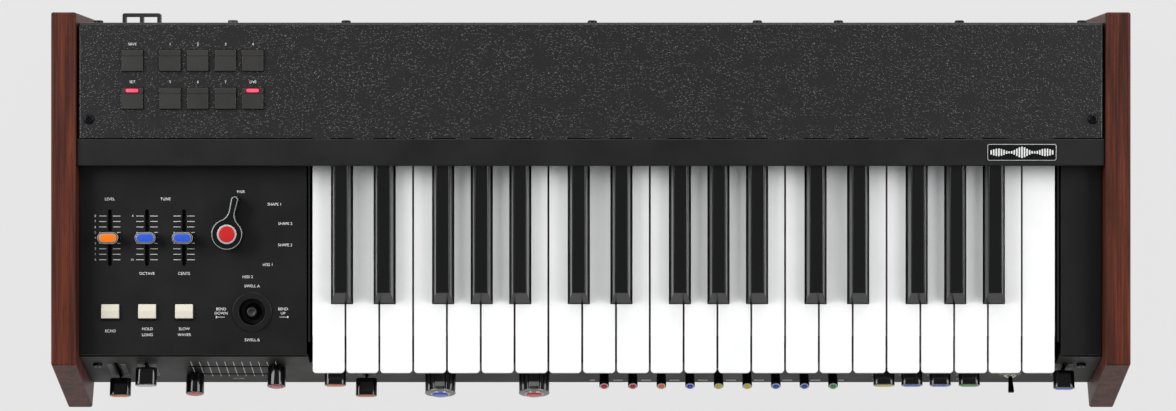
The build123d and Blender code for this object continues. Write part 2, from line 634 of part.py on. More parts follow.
def key_frame():
    """Spot-welded steel chassis: bed, end plates, stop rail, spring rail, hinge rod, springs, posts."""
    bed_top = FRAME_Z + FRAME_PLATE
    y = (FRAME_FRONT_Y, KEY_BACK_Y + 4.0)
    rod = Pos(KEY_BAY[0], PIVOT_Y, PIVOT_Z) * Rot(0, 90, 0) * peg(PIVOT_ROD, 0, KEY_BAY[1] - KEY_BAY[0])
    pieces = [block(KEY_BAY, y, (FRAME_Z, bed_top)), rod]
    for x in (KEY_BAY[0], KEY_BAY[1] - FRAME_PLATE):
        pieces.append(block((x, x + FRAME_PLATE), y, (bed_top, KEY_Z - 1.0)) - rod)
    stop_y = (LIP_END_Y + 3.0, LIP_END_Y + 3.0 + RAIL_SPAN)
    for web in (stop_y[0], stop_y[1] - FRAME_PLATE):
        pieces.append(cross_plate((web, web + FRAME_PLATE), (bed_top, STOP_Z - FRAME_PLATE)))
    pieces.append(cross_plate(stop_y, (STOP_Z - FRAME_PLATE, STOP_Z)))
    rail_y = PIVOT_Y - 16.0
    pieces.append(cross_plate((rail_y, rail_y + FRAME_PLATE), (bed_top, SPRING_Z)))
    for octave in range(OCTAVES):
        for place in (3, OCTAVE):
            x = X_KEYS + (octave * OCTAVE + place) * KEY_PITCH
            lug = block((x - LUG / 2, x + LUG / 2), (PIVOT_Y - 5, PIVOT_Y + 5), (bed_top, PIVOT_Z + 4))
            pieces.append(lug - rod)
        pieces += [key_spring(octave * OCTAVE + centre, rail_y) for centre in BLACK_CENTRE.values()]
    pieces += [key_spring(place + 0.5, rail_y) for place in range(WHITE_KEYS)]
    post = Box(POST, POST, FRAME_Z - BASE_Z - SHEET, align=CENTRE)
    for x in (X_KEYS + POST_INSET, MIDDLE_POST_X, X_KEYS_END - POST_INSET):
        for y in (LIP_END_Y + 46, KEY_BACK_Y - 10):
            pieces.append(Pos(x, y, BASE_Z + SHEET) * post)
    return pieces


# ---- inside ------------------------------------------------------------------------------------
def slide_pot(travel):
    """A slide pot under a panel face: a can with a slot for the stem, along Y."""
    face = -PANEL - 1.0
    can = prism(Rectangle(POT_WIDTH, travel + 2 * POT_END), face - POT_DEPTH, face)
    groove = Rectangle(STEM_WIDTH + 1.0, travel + STEM_LENGTH + 4)
    return can - prism(groove, face - POT_DEPTH + 2, face + 1)


def rotary_pot():
    """A round pot under a panel face, bored for a knob's shaft."""
    back = -PANEL - 1.0 - POT_DEPTH
    return peg(8, back, -PANEL) - peg(SHAFT_HOLE, back + 1, 0)


def toggle_body():
    """The switch under a lever toggle: a box with a pocket, cross-bored for the lever's pin."""
    face = -PANEL - 0.4
    box = prism(Rectangle(12, 14), face - 10, face)
    box -= prism(Rectangle(5, 11), face - 8, face + 1)
    return box - Pos(-7, 0, -PANEL - TOGGLE_PIVOT) * Rot(0, 90, 0) * peg(PIN + RUNNING_FIT, 0, 14)


def rocker_body():
    """The cup under a rocker, cross-bored for its pins."""
    cup = prism(Rectangle(ROCKER_OPENING[0] + 3, ROCKER_OPENING[1] + 3), -PANEL - 13, -PANEL)
    cup -= prism(Rectangle(ROCKER_OPENING[0], ROCKER_OPENING[1] + 0.8), -PANEL - 11, 0)
    return cup - Pos(-10, 0, ROCKER_AXIS) * Rot(0, 90, 0) * peg(PIN + RUNNING_FIT, 0, 20)


def joystick_housing():
    """The box under the joystick's hole, bored for the ring's pins."""
    side = 2 * GIMBAL[1] + 6
    box = prism(Rectangle(side + 4, side + 4), -STICK_PIVOT - 9, -PANEL)
    box -= prism(Rectangle(side, side), -STICK_PIVOT - 7, 0)
    bore = Rot(90, 0, 0) * peg(PIN + RUNNING_FIT, -side, side)
    return box - Pos(0, 0, -STICK_PIVOT) * bore


def circuit_boards():
    """Boards with the slide pots, switches and housings that sit on them."""
    pieces = []
    pot_back = -PANEL - 1.0 - POT_DEPTH
    for x in PANEL_SLIDERS:
        pieces.append(on_panel(x, PANEL_SLIDER_Y) * slide_pot(SLIDER_TRAVEL))
    pieces.append(on_panel(*SELECTOR) * rotary_pot())
    for x in ROCKERS:
        pieces.append(on_panel(x, ROCKER_Y) * rocker_body())
    pieces.append(on_panel(*STICK) * joystick_housing())
    left = -X_IN + 10
    board_y = (PANEL_SLIDER_Y - 26, PANEL_SLIDER_Y + 26)
    board_z = (PANEL_Z + pot_back - BOARD, PANEL_Z + pot_back)
    pieces.append(block((left, X_KEYS - 25), board_y, board_z))
    for x, _ in FRONT_SLIDERS.values():
        pieces.append(on_front(x, MIDDLE_DROP) * slide_pot(SLIDER_TRAVEL))
    for drop in FILTER_DROPS:
        turned = Rot(0, 0, 90) * slide_pot(FILTER_TRAVEL)
        pieces.append(on_front(FILTER_X + FILTER_TRAVEL / 2, drop) * turned)
    for x in ROTARIES.values():
        pieces.append(on_front(x, SWITCH_DROP) * rotary_pot())
    for x in TOGGLE_X:
        pieces.append(on_front(x, SWITCH_DROP) * toggle_body())
    bat = prism(Rectangle(8, 14), -PANEL - 11, -PANEL) - prism(Rectangle(4.4, 8), -PANEL - 9, 0)
    bushing = peg(BAT_BUSHING, -PANEL, 2.4) - peg(BAT_BORE, -PANEL - 1, 3)
    nut = hex_nut(8.0, 0, 1.6, BAT_BUSHING)
    pieces += [on_front(BAT_X, BAT_DROP) * (bat + bushing), on_front(BAT_X, BAT_DROP) * nut]
    for x in (
        (-X_IN + 12, X_KEYS - 20),
        (FRONT_SLIDERS["depth_slider"][0] - 11, FRONT_SLIDERS["rate_slider"][0] + 11),
        (FRONT_SLIDERS["attack_slider"][0] - 10, FRONT_SLIDERS["release_slider"][0] + 10),
    ):
        board = block(x, (-MIDDLE_DROP - 22, -MIDDLE_DROP + 22), (pot_back - BOARD, pot_back))
        pieces.append(FRONT.location * board)
    main_z = (MAIN_BOARD_Z, MAIN_BOARD_Z + BOARD)
    pieces.append(block((-X_IN + 20, X_KEYS + 120), (WALL_Y - 52, WALL_Y - 8), main_z))
    for x in (-X_IN + 30, X_KEYS + 110):
        for y in (WALL_Y - 46, WALL_Y - 14):
            pieces.append(Pos(x, y, 0) * peg(3, BASE_Z + SHEET, MAIN_BOARD_Z))
    for x, size in ((-X_IN + 70, 14), (-X_IN + 130, 20), (-X_IN + 190, 12)):
        chip = prism(Rectangle(size, size), MAIN_BOARD_Z + BOARD, MAIN_BOARD_Z + BOARD + 1.6)
        pieces.append(Pos(x, WALL_Y - 30, 0) * chip)
    key_board = (FRAME_Z + FRAME_PLATE, FRAME_Z + FRAME_PLATE + BOARD)
    pieces.append(block((X_KEYS + 5, X_KEYS_END - 5), (LIP_END_Y + 30, LIP_END_Y + 60), key_board))
    button_board = (COVER_Z - SHEET - 9, COVER_Z - SHEET - 9 + BOARD)
    span = (BUTTON_COLUMNS[0] - 12, BUTTON_COLUMNS[-1] + 12)
    pieces.append(block(span, (BUTTON_ROWS[1] - 12, BUTTON_ROWS[0] + 12), button_board))
    return pieces


def spring_reverb():
    """Spring reverb tank: an open steel tray, two springs and a coil block at each end."""
    length, width, height = TANK
    inside = [length - 2 * TANK_PLATE, width - 2 * TANK_PLATE]
    tray = Box(*TANK, align=CENTRE) - Pos(0, 0, TANK_PLATE) * Box(*inside, height, align=CENTRE)
    tray -= Pos(0, 0, -1) * Box(length - 40, width - 20, TANK_PLATE + 2, align=CENTRE)
    pieces = [tray]
    for end in (-1, 1):
        pieces.append(Pos(end * (length / 2 - 14), 0, TANK_PLATE) * Box(18, 34, 18, align=CENTRE))
    outer, inner = TANK_SPRING
    reach = length - 46
    for side in (-1, 1):
        spring = peg(outer, 0, reach) - peg(inner, -1, reach + 1)
        pieces.append(Pos(-reach / 2, side * 9, 10 + TANK_PLATE) * Rot(0, 90, 0) * spring)
    return [Pos(TANK_X, WALL_Y - TANK_PLACE[1], BASE_Z + SHEET) * piece for piece in pieces]


# ---- back --------------------------------------------------------------------------------------
def backwards(x, z):
    """A place on the rear wall's outer face, with local Z pointing out of the back."""
    return Pos(x, WALL_Y, z) * Rot(-90, 0, 0)


def jack(bushing, bore, sizes):
    """A panel jack: body inside the wall, bushing through it and a nut outside."""
    deep, across, body = sizes
    piece = prism(Rectangle(body, body), -SHEET - deep - 1, -SHEET) + peg(bushing, -SHEET - 1, JACK_OUT)
    piece -= peg(bore, JACK_OUT - deep, JACK_OUT + 1)
    return [piece, hex_nut(across, 0, JACK_OUT - 0.8, bushing)]


def din_socket():
    """Five-pin socket: a round recess with pin holes in its floor, and a flange on the wall."""
    width, height, flange = DIN_FLANGE
    body = peg(DIN_BODY, -DIN_DEPTH - 6, flange) + prism(RectangleRounded(width, height, 3), 0, flange)
    body -= peg(DIN_RECESS, -DIN_DEPTH, flange + 1)
    for turn in (-90, -45, 0, 45, 90):
        body -= Rot(0, 0, turn) * Pos(0, 5.0, 0) * peg(0.8, -DIN_DEPTH - 4, 0)
    return body


def usb_socket():
    """Square data socket: a shell with a tongue in its mouth."""
    shell = prism(Rectangle(*USB_SHELL), -USB_DEPTH - 4, 1.0)
    shell -= prism(Rectangle(*USB_MOUTH), -USB_DEPTH, 2)
    return [shell, prism(Rectangle(*USB_TONGUE), -USB_DEPTH, -1)]


def power_inlet():
    """Round inlet for the supply's plug, with its centre pin."""
    body = peg(POWER_IN_BODY, -POWER_IN_DEPTH - 3, 1.6) - peg(POWER_IN_BORE, -POWER_IN_DEPTH, 2)
    return [body, peg(1.0, -POWER_IN_DEPTH, 0)]


def button_guide():
    """The square sleeve that the power button slides in."""
    return prism(Rectangle(11, 11), -16, -SHEET - GAP) - peg(POWER_BUTTON + GAP, -15, 0)


def rear_sockets():
    """Everything fixed through the rear wall, and the cable hook."""
    placed = [(x, jack(SMALL_BUSHING, SMALL_BORE, SMALL_JACK)) for x in SMALL_JACKS]
    placed += [(x, jack(LARGE_BUSHING, LARGE_BORE, LARGE_JACK)) for x in LARGE_JACKS]
    placed += [(DIN_X, [din_socket()]), (USB_X, usb_socket()), (POWER_IN_X, power_inlet())]
    placed += [(POWER_BUTTON_X, [button_guide()])]
    return [backwards(x, SOCKET_Z) * piece for x, pieces in placed for piece in pieces] + [cable_hook()]


def cable_hook():
    """A strap on three legs, so that a supply lead can be threaded behind it."""
    z = (SOCKET_Z - HOOK_HEIGHT / 2, SOCKET_Z + HOOK_HEIGHT / 2)
    back = DEPTH / 2
    half = HOOK_WIDTH / 2
    hook = block((HOOK_X - half, HOOK_X + half), (back - HOOK_BAR, back), z)
    for x in (HOOK_X - half + HOOK_BAR / 2, HOOK_X, HOOK_X + half - HOOK_BAR / 2):
        hook += block((x - HOOK_BAR / 2, x + HOOK_BAR / 2), (WALL_Y, back), z)
    upright = hook.edges().filter_by(Axis.Z).group_by(Axis.Y)[-1]
    return fillet(upright, 1.5)


def screw(length):
    """A domed cross-head screw on the Z axis, its head above zero."""
    head = peg(SCREW_HEAD, 0, 1.8)
    head = fillet(head.edges().group_by(Axis.Z)[-1], 1.2)
    cross = Box(3.6, 0.9, 2.4) + Box(0.9, 3.6, 2.4)
    return head - Pos(0, 0, 1.8) * cross + peg(SCREW_SHANK, -length, 0)


def screws():
    """Every black screw that shows."""
    pieces = [on_front(x, drop) * screw(PANEL + 4) for x, drop in FRONT_SCREWS]
    pieces += [Pos(x, y, COVER_Z) * screw(SHEET + 5) for x, y in COVER_SCREWS]
    wall = COVER_BACK_Y - WALL_Y
    pieces += [backwards(x, WALL_SCREW_Z) * Pos(0, 0, wall) * screw(wall + 5) for x in WALL_SCREWS]
    return pieces


def rubber_feet():
    """Four round feet, each with a stud pushed into the floor of the base."""
    pieces = []
    for x, y in FEET:
        foot = peg(FOOT_RADIUS, 0, FOOT_HEIGHT)
        foot = fillet(foot.edges().group_by(Axis.Z)[0], 2.0)
        stud = peg(FOOT_STUD, FOOT_HEIGHT, FOOT_HEIGHT + SHEET + 2)
        pieces += [Pos(x, y, 0) * foot, Pos(x, y, 0) * stud]
    return pieces


# ---- moving controls ---------------------------------------------------------------------------
def slider_cap(width, depth, reach):
    """A capsule cap pressed on a flat stem, with a coloured insert on its face."""
    low, high = reach
    face = high - INSERT_RISE
    cap = prism(SlotOverall(width, depth), low, face)
    cap = fillet(cap.edges().group_by(Axis.Z)[-1], 0.6)
    stem = prism(Rectangle(STEM_WIDTH, STEM_LENGTH), -PANEL - STEM_DIP, low)
    insert = prism(SlotOverall(width - 2 * INSERT_INSET, depth - 2 * INSERT_INSET), face, high)
    return [cap, stem, insert]


def filter_cap():
    """A round cap pressed on a flat stem that is turned along its slot."""
    low, high = FILTER_CAP
    face = high - INSERT_RISE
    cap = peg(FILTER_CAP_RADIUS, low, face)
    cap = fillet(cap.edges().group_by(Axis.Z)[-1], 0.8)
    stem = prism(Rectangle(STEM_LENGTH, STEM_WIDTH), -PANEL - STEM_DIP, low)
    return [cap, stem, peg(FILTER_CAP_RADIUS - INSERT_INSET, face, high)]


def selector():
    """A teardrop pointer knob on its shaft, aimed at the first position."""
    tip = SELECTOR_REACH - SELECTOR_TIP
    plan = make_hull(
        (Circle(SELECTOR_RADIUS - 1.5) + Pos(0, tip * 0.45) * Circle(SELECTOR_TIP + 1.0)).edges()
    ) + Circle(SELECTOR_RADIUS) + Pos(0, tip / 2) * Rectangle(2 * SELECTOR_TIP, tip)
    plan += Pos(0, tip) * Circle(SELECTOR_TIP)
    body = prism(plan, 1.0, SELECTOR_HEIGHT)
    body += peg(SHAFT, -PANEL - 5, 2.0)
    insert = peg(SELECTOR_RADIUS / 2, SELECTOR_HEIGHT, SELECTOR_HEIGHT + INSERT_RISE)
    return [Rot(0, 0, -SELECTOR_AIM) * body, insert]


def rotary():
    """A fluted round knob with a raised bar that points up the panel, on its shaft."""
    skirt = Circle(ROTARY_RADIUS)
    for i in range(24):
        skirt -= Rot(0, 0, 15 * i) * Pos(ROTARY_RADIUS + 0.7, 0) * Circle(1.3)
    body = prism(skirt, 1.5, ROTARY_FACE)
    body = body + prism(Pos(0, 6) * Rectangle(*ROTARY_POINTER), 1.5, ROTARY_FACE)
    body += peg(SHAFT, -PANEL - 5, 2.0)
    return [body, peg(5.75, ROTARY_FACE, ROTARY_FACE + 1.5)]


def cross_pins(start, end):
    """Two pins along X that stand out from the sides of a lever."""
    return [Rot(0, side * 90, 0) * peg(PIN, start, end) for side in (-1, 1)]


def toggle():
    """A lever toggle about its pins: neck, barrel and coloured tip, lifted to its upper position."""
    neck = prism(Rectangle(TOGGLE_NECK, TOGGLE_NECK), -2.5, TOGGLE_NECK_TOP)
    barrel = peg(TOGGLE_BARREL, TOGGLE_NECK_TOP, TOGGLE_LENGTH - 1)
    tip = prism(RegularPolygon(2.7, 6), TOGGLE_LENGTH - 1, TOGGLE_LENGTH)
    aim = Pos(0, 0, -PANEL - TOGGLE_PIVOT) * Rot(-TOGGLE_LIFT, 0, 0)
    return [aim * piece for piece in [neck, barrel, tip] + cross_pins(TOGGLE_NECK / 2, 5.5)]


def bat_toggle():
    """A slim metal lever, wider towards its tip, on a short pivot barrel; lifted."""
    wedge = [(-1.0, 0), (-2.15, BAT_LENGTH), (2.15, BAT_LENGTH), (1.0, 0)]
    blade = extrude(Plane.XZ * Polygon(*wedge, align=None), 0.9, both=True)
    blade = fillet(blade.edges().filter_by(Axis.Y), 0.6)
    lever = blade + Pos(-1.4, 0, 0) * Rot(0, 90, 0) * peg(1.5, 0, 2.8)
    return [Pos(0, 0, -BAT_PIVOT) * Rot(-BAT_LIFT, 0, 0) * lever]


def rocker():
    """A rocker with a ridge across it, tilted to its rear position, on two short pins."""
    fall = ROCKER_HALF * tan(radians(ROCKER_TILT))
    half = ROCKER_OPENING[0] / 2 - ROCKER_SIDE_GAP
    outline = [
        (-ROCKER_HALF, ROCKER_TOP - fall), (0, ROCKER_TOP), (ROCKER_HALF, ROCKER_TOP - fall),
        (ROCKER_HALF, -1.0), (2.5, -5.0), (-2.5, -5.0), (-ROCKER_HALF, -1.0),
    ]
    body = along_x(outline, (-half, half))
    top = body.edges().group_by(Axis.Z)[-1] + body.edges().filter_by(Axis.X).group_by(Axis.Z)[-2]
    body = fillet(top, 0.5)
    aim = Pos(0, 0, ROCKER_AXIS) * Rot(-ROCKER_TILT, 0, 0)
    return [aim * piece for piece in [body] + cross_pins(half, half + ROCKER_PIN)]


def joystick_ring():
    """The joystick's gimbal ring with its two pins along Y."""
    inner, outer, height = GIMBAL
    ring = peg(outer, -height / 2, height / 2) - peg(inner, -height, height)
    pins = Rot(90, 0, 0) * (peg(PIN, outer - 1, outer + 4.5) + peg(PIN, -outer - 4.5, -outer + 1))
    bores = Rot(0, 90, 0) * peg(PIN + RUNNING_FIT, -outer - 1, outer + 1)
    return [Pos(0, 0, -STICK_PIVOT) * (ring + pins - bores)]


def joystick_stick():
    """The joystick's stick with its cross pin along X and a dished tip."""
    top = STICK_PIVOT + STICK_TOP
    stick = peg(STICK_RADIUS, -4, top)
    stick = fillet(stick.edges().group_by(Axis.Z)[-1], 1.0)
    stick -= Pos(0, 0, top + 6.2) * Sphere(6.8)
    stick += Rot(0, 90, 0) * peg(PIN, -GIMBAL[1] + 0.6, GIMBAL[1] - 0.6)
    return [Pos(0, 0, -STICK_PIVOT) * stick]


def memory_buttons():
    """Ten square caps, each with a window strip along its back and a groove in front of it."""
    pieces = []
    for x in BUTTON_COLUMNS:
        for y in BUTTON_ROWS:
            cap = prism(Rectangle(BUTTON, BUTTON), -SHEET - BUTTON_TRAVEL - 1.3, BUTTON_RISE)
            cap = fillet(cap.edges().group_by(Axis.Z)[-1], 0.5)
            groove = (BUTTON / 2 - BUTTON_WINDOW - BUTTON_GROOVE, BUTTON / 2 - BUTTON_WINDOW)
            cap -= block((-BUTTON, BUTTON), groove, (BUTTON_RISE - 0.5, BUTTON_RISE + 1))
            pieces.append(Pos(x, y, COVER_Z) * cap)
    return pieces


def power_button():
    """A round push button that slides in the rear wall."""
    button = peg(POWER_BUTTON, -10, 5.0)
    return [backwards(POWER_BUTTON_X, SOCKET_Z) * fillet(button.edges().group_by(Axis.Z)[-1], 0.8)]


# ---- the whole instrument ----------------------------------------------------------------------
def main():
    os.makedirs("parts", exist_ok=True)
    write("left_cheek", [cheek(-1)])
    write("right_cheek", [cheek(1)])
    write("base_pan", base_pan())
    write("rear_cover", [rear_cover()])
    write("nameboard", nameboard())
    write("control_panel", control_panel())
    write("right_panel", [right_panel()])
    write("front_panel", [front_panel()])
    write("key_frame", key_frame())
    write("circuit_boards", circuit_boards())
    write("spring_reverb", spring_reverb())
    write("rear_sockets", rear_sockets())
    write("screws", screws())
    write("rubber_feet", rubber_feet())
    for note in NOTES:
        write(f"keys_{note}", keys_of(note))
    for i, x in enumerate(PANEL_SLIDERS, start=1):
        cap = slider_cap(CAP_WIDTH, CAP_DEPTH, PANEL_CAP)
        write(f"panel_slider_{i}", [on_panel(x, PANEL_SLIDER_Y) * piece for piece in cap])
    for i, x in enumerate(ROCKERS, start=1):
        write(f"rocker_{i}", [on_panel(x, ROCKER_Y) * piece for piece in rocker()])
    write("selector_knob", [on_panel(*SELECTOR) * piece for piece in selector()])
    write("joystick_ring", [on_panel(*STICK) * piece for piece in joystick_ring()])
    write("joystick_stick", [on_panel(*STICK) * piece for piece in joystick_stick()])
    for name, (x, drop) in FRONT_SLIDERS.items():
        cap = slider_cap(CAP_WIDTH, FRONT_CAP_DEPTH, FRONT_CAP)
        write(name, [on_front(x, drop) * piece for piece in cap])
    for name, (x, drop) in FILTER_SLIDERS.items():
        write(name, [on_front(x, drop) * piece for piece in filter_cap()])
    for name, x in ROTARIES.items():
        write(name, [on_front(x, SWITCH_DROP) * piece for piece in rotary()])
    for i, x in enumerate(TOGGLE_X, start=1):
        write(f"toggle_{i}", [on_front(x, SWITCH_DROP) * piece for piece in toggle()])
    write("bat_toggle", [on_front(BAT_X, BAT_DROP) * piece for piece in bat_toggle()])
    write("memory_buttons", memory_buttons())
    write("power_button", power_button())
    print("key hinge at Y, Z:", round(PIVOT_Y, 3), round(PIVOT_Z, 3), "swings", round(KEY_ANGLE, 3))


main()
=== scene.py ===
# %% [markdown]
# # A three-octave synthesizer, dressed in Blender
#
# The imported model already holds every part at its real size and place. This lesson loads it as a
# fixed frame, gives each part the finish that the real one has, and models the pieces whose shape
# carries the look: slider caps, pointer knobs, levers, printed scales, lamps and socket nuts.
# All sizes below are in millimetres and become metres when a piece is finished.

# %% Load the frame
import json
import math

import bmesh
import bpy
from mathutils import Matrix, Vector


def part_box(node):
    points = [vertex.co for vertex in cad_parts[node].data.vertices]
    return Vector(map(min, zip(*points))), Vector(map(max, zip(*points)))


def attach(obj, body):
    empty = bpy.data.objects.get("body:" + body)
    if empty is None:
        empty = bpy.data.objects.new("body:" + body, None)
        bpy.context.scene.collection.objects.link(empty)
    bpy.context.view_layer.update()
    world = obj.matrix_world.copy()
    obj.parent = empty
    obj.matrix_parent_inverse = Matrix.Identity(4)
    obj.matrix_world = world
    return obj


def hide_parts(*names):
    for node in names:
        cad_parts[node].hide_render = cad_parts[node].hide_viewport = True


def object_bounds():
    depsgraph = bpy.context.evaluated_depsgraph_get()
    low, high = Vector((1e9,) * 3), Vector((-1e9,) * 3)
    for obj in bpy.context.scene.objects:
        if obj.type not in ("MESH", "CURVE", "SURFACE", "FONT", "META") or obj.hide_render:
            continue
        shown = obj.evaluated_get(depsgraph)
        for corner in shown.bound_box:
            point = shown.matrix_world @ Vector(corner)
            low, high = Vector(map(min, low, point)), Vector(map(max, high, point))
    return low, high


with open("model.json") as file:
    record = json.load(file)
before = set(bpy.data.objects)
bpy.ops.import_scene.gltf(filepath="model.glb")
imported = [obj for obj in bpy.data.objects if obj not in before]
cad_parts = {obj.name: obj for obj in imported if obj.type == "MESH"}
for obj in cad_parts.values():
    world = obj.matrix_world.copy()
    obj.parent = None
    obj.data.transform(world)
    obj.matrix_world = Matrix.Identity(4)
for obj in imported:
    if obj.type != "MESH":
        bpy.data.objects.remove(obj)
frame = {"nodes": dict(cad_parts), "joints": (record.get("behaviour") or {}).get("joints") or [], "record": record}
cad_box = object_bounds()
nodes = frame["nodes"]
joints = {joint["name"]: joint for joint in frame["joints"]}
MM = 0.001
print("CAD nodes:", len(nodes), "joints:", len(joints))

# %% [markdown]
# ## Camera
#
# The instrument is seen from straight above, from a little under three metres up, with the keys'
# fronts nearest the lower edge of the view. A long lens from far away keeps the cheeks almost
# parallel, and the small perspective that is left shows the sloped front below the keys.

# %% Camera
VIEW_WIDTH = 823.2        # width seen at the tops of the cheeks
CAMERA_RISE = 2700.0      # lens above the tops of the cheeks
CAMERA_AIM = (-2.0, 4.9)  # where the lens stands, from the instrument's middle
SENSOR = 36.0

lens = bpy.data.cameras.new("camera")
lens.sensor_width = SENSOR
lens.lens = SENSOR * CAMERA_RISE / VIEW_WIDTH
camera = bpy.data.objects.new("camera", lens)
camera.location = (CAMERA_AIM[0] * MM, CAMERA_AIM[1] * MM, cad_box[1].z + CAMERA_RISE * MM)
bpy.context.scene.collection.objects.link(camera)
bpy.context.scene.camera = camera
print("lens:", round(lens.lens, 1), "mm")

# %% [markdown]
# ## Studio
#
# The instrument stands on a light table, whose even glow swallows the shadows, in a dim grey room
# with large soft panels at the sides. Glossy black parts face straight up at the camera, so nothing
# bright hangs overhead: the panels stand to the left, the right and the back, where only sloped and
# rounded edges catch them.

# %% Light panels
LIGHT_AIM = Vector((0, 0, 0.1))         # the middle of the instrument, in metres
LIGHT_PANELS = (                        # name, place and size in metres, power in watts
    ("left_panel", (-1.7, 0.7, 1.5), 1.3, 38),
    ("right_panel", (1.8, 0.5, 1.6), 1.3, 34),
    ("back_panel", (0.2, 1.9, 1.4), 1.6, 20),
    ("front_panel_light", (-0.3, -2.0, 1.2), 1.4, 4),
)
ROOM_COLOUR = (0.8, 0.82, 0.85, 1)
ROOM_STRENGTH = 0.28

for name, place, size, power in LIGHT_PANELS:
    lamp = bpy.data.lights.new(name, "AREA")
    lamp.size = size
    lamp.energy = power
    panel = bpy.data.objects.new(name, lamp)
    panel.location = place
    panel.rotation_euler = (LIGHT_AIM - Vector(place)).to_track_quat("-Z", "Y").to_euler()
    bpy.context.scene.collection.objects.link(panel)

world = bpy.data.worlds.new("surround")
world.use_nodes = True
room = world.node_tree.nodes["Background"]
room.inputs["Color"].default_value = ROOM_COLOUR
room.inputs["Strength"].default_value = ROOM_STRENGTH
bpy.context.scene.world = world
bpy.context.scene.view_settings.view_transform = "Standard"
print("light panels:", len(LIGHT_PANELS))

# %% [markdown]
# ## Materials
#
# One function turns the colours people write, sRGB hex, into the linear values shaders need.
# One more adds a node with its settings and links. Every finish is then one call, or a short
# function of its own: what the surface is, how it was made, and what that gives the eye.

# %% Colour and node helpers
def linear(code):
    """An sRGB hex colour as linear red, green and blue, fully opaque."""
    values = []
    for start in (1, 3, 5):
        share = int(code[start:start + 2], 16) / 255
        values.append(share / 12.92 if share <= 0.04045 else ((share + 0.055) / 1.055) ** 2.4)
    return (*values, 1.0)


def add(tree, kind, sockets=None, **settings):
    """Adds a shader node: settings are its options; sockets are values or other nodes' outputs."""
    made = tree.nodes.new("ShaderNode" + kind)
    for name, value in settings.items():
        setattr(made, name, value)
    for name, value in (sockets or {}).items():
        if isinstance(value, bpy.types.NodeSocket):
            tree.links.new(value, made.inputs[name])
        else:
            made.inputs[name].default_value = value
    return made


def start_material(name):
    """An empty material with its output, ready for a shader."""
    material = bpy.data.materials.new(name)
    material.use_nodes = True
    tree = material.node_tree
    tree.nodes.clear()
    shader = add(tree, "BsdfPrincipled")
    add(tree, "OutputMaterial", {"Surface": shader.outputs["BSDF"]})
    return material, tree, shader


def feed(tree, shader, **sockets):
    """Sets or links a shader's own sockets; names use _ for a space."""
    for name, value in sockets.items():
        socket = shader.inputs[name.replace("_", " ")]
        if isinstance(value, bpy.types.NodeSocket):
            tree.links.new(value, socket)
        else:
            socket.default_value = value


def object_place(tree, scale=(1.0, 1.0, 1.0)):
    """Object coordinates, in metres, stretched along each axis."""
    place = add(tree, "TexCoord")
    return add(tree, "Mapping", {"Vector": place.outputs["Object"], "Scale": scale}).outputs["Vector"]


# %% [markdown]
# ### Moulded and painted surfaces
#
# Moulded plastic and baked enamel share one structure: a nearly even colour, a slightly cloudy
# roughness from handling, and a fine grain in the surface. The grain's real size in millimetres
# sets the scale of the noise; its depth sets the bump.

# %% Plain finishes
CLOUDS = 28.0             # scale of the noise that clouds a surface, about 36 mm across
CLOUD_SHADE = 0.86        # how dark a cloud is, as a share of the colour


def plain_finish(name, colour, roughness, grain, depth, metallic=0.0, cloud=0.06, ior=1.5):
    """A moulded, painted or plated surface. grain and depth are in millimetres."""
    material, tree, shader = start_material(name)
    where = object_place(tree)
    clouds = add(tree, "TexNoise", {"Vector": where, "Scale": CLOUDS, "Detail": 3.0})
    low, high = roughness - cloud, roughness + cloud
    rough = add(tree, "MapRange", {"Value": clouds.outputs["Fac"], "From Min": 0.3, "From Max": 0.7,
                                   "To Min": max(low, 0.02), "To Max": high})
    dark = [channel * CLOUD_SHADE for channel in linear(colour)[:3]] + [1.0]
    tint = add(tree, "MixRGB", {"Fac": clouds.outputs["Fac"], "Color1": dark, "Color2": linear(colour)})
    fine = add(tree, "TexNoise", {"Vector": where, "Scale": 1.0 / (grain * MM), "Detail": 2.0})
    bump = add(tree, "Bump", {"Height": fine.outputs["Fac"], "Distance": depth * MM, "Strength": 1.0})
    feed(tree, shader, Base_Color=tint.outputs["Color"], Roughness=rough.outputs["Result"],
         Normal=bump.outputs["Normal"], Metallic=metallic)
    if metallic == 0.0:
        feed(tree, shader, IOR=ior)
    return material


# %% [markdown]
# ### Walnut-toned veneer
#
# The cheeks are boards faced with a reddish brown veneer, its grain running front to back. Three layers
# make it: broad bands of early and late wood, narrow streaks, and short dark pores. Each is noise
# stretched many times longer along the grain than across it.

# %% Wood
GRAIN_BAND = (7.0, 190.0)   # width and length of a band of figure
GRAIN_STREAK = (1.1, 60.0)
PORE = (0.35, 9.0)          # a pore, drawn a little coarse so that it shows
PORE_DEPTH = 0.12


def stripes(tree, stripe, detail, distort=0.0):
    """Noise stretched along Y: stripes of a given width and length in millimetres."""
    across, along = (1 / (size * MM) for size in stripe)
    where = object_place(tree, (across, along, across))
    noise = add(tree, "TexNoise", {"Vector": where, "Scale": 1.0, "Detail": detail, "Distortion": distort})
    return noise.outputs["Fac"]


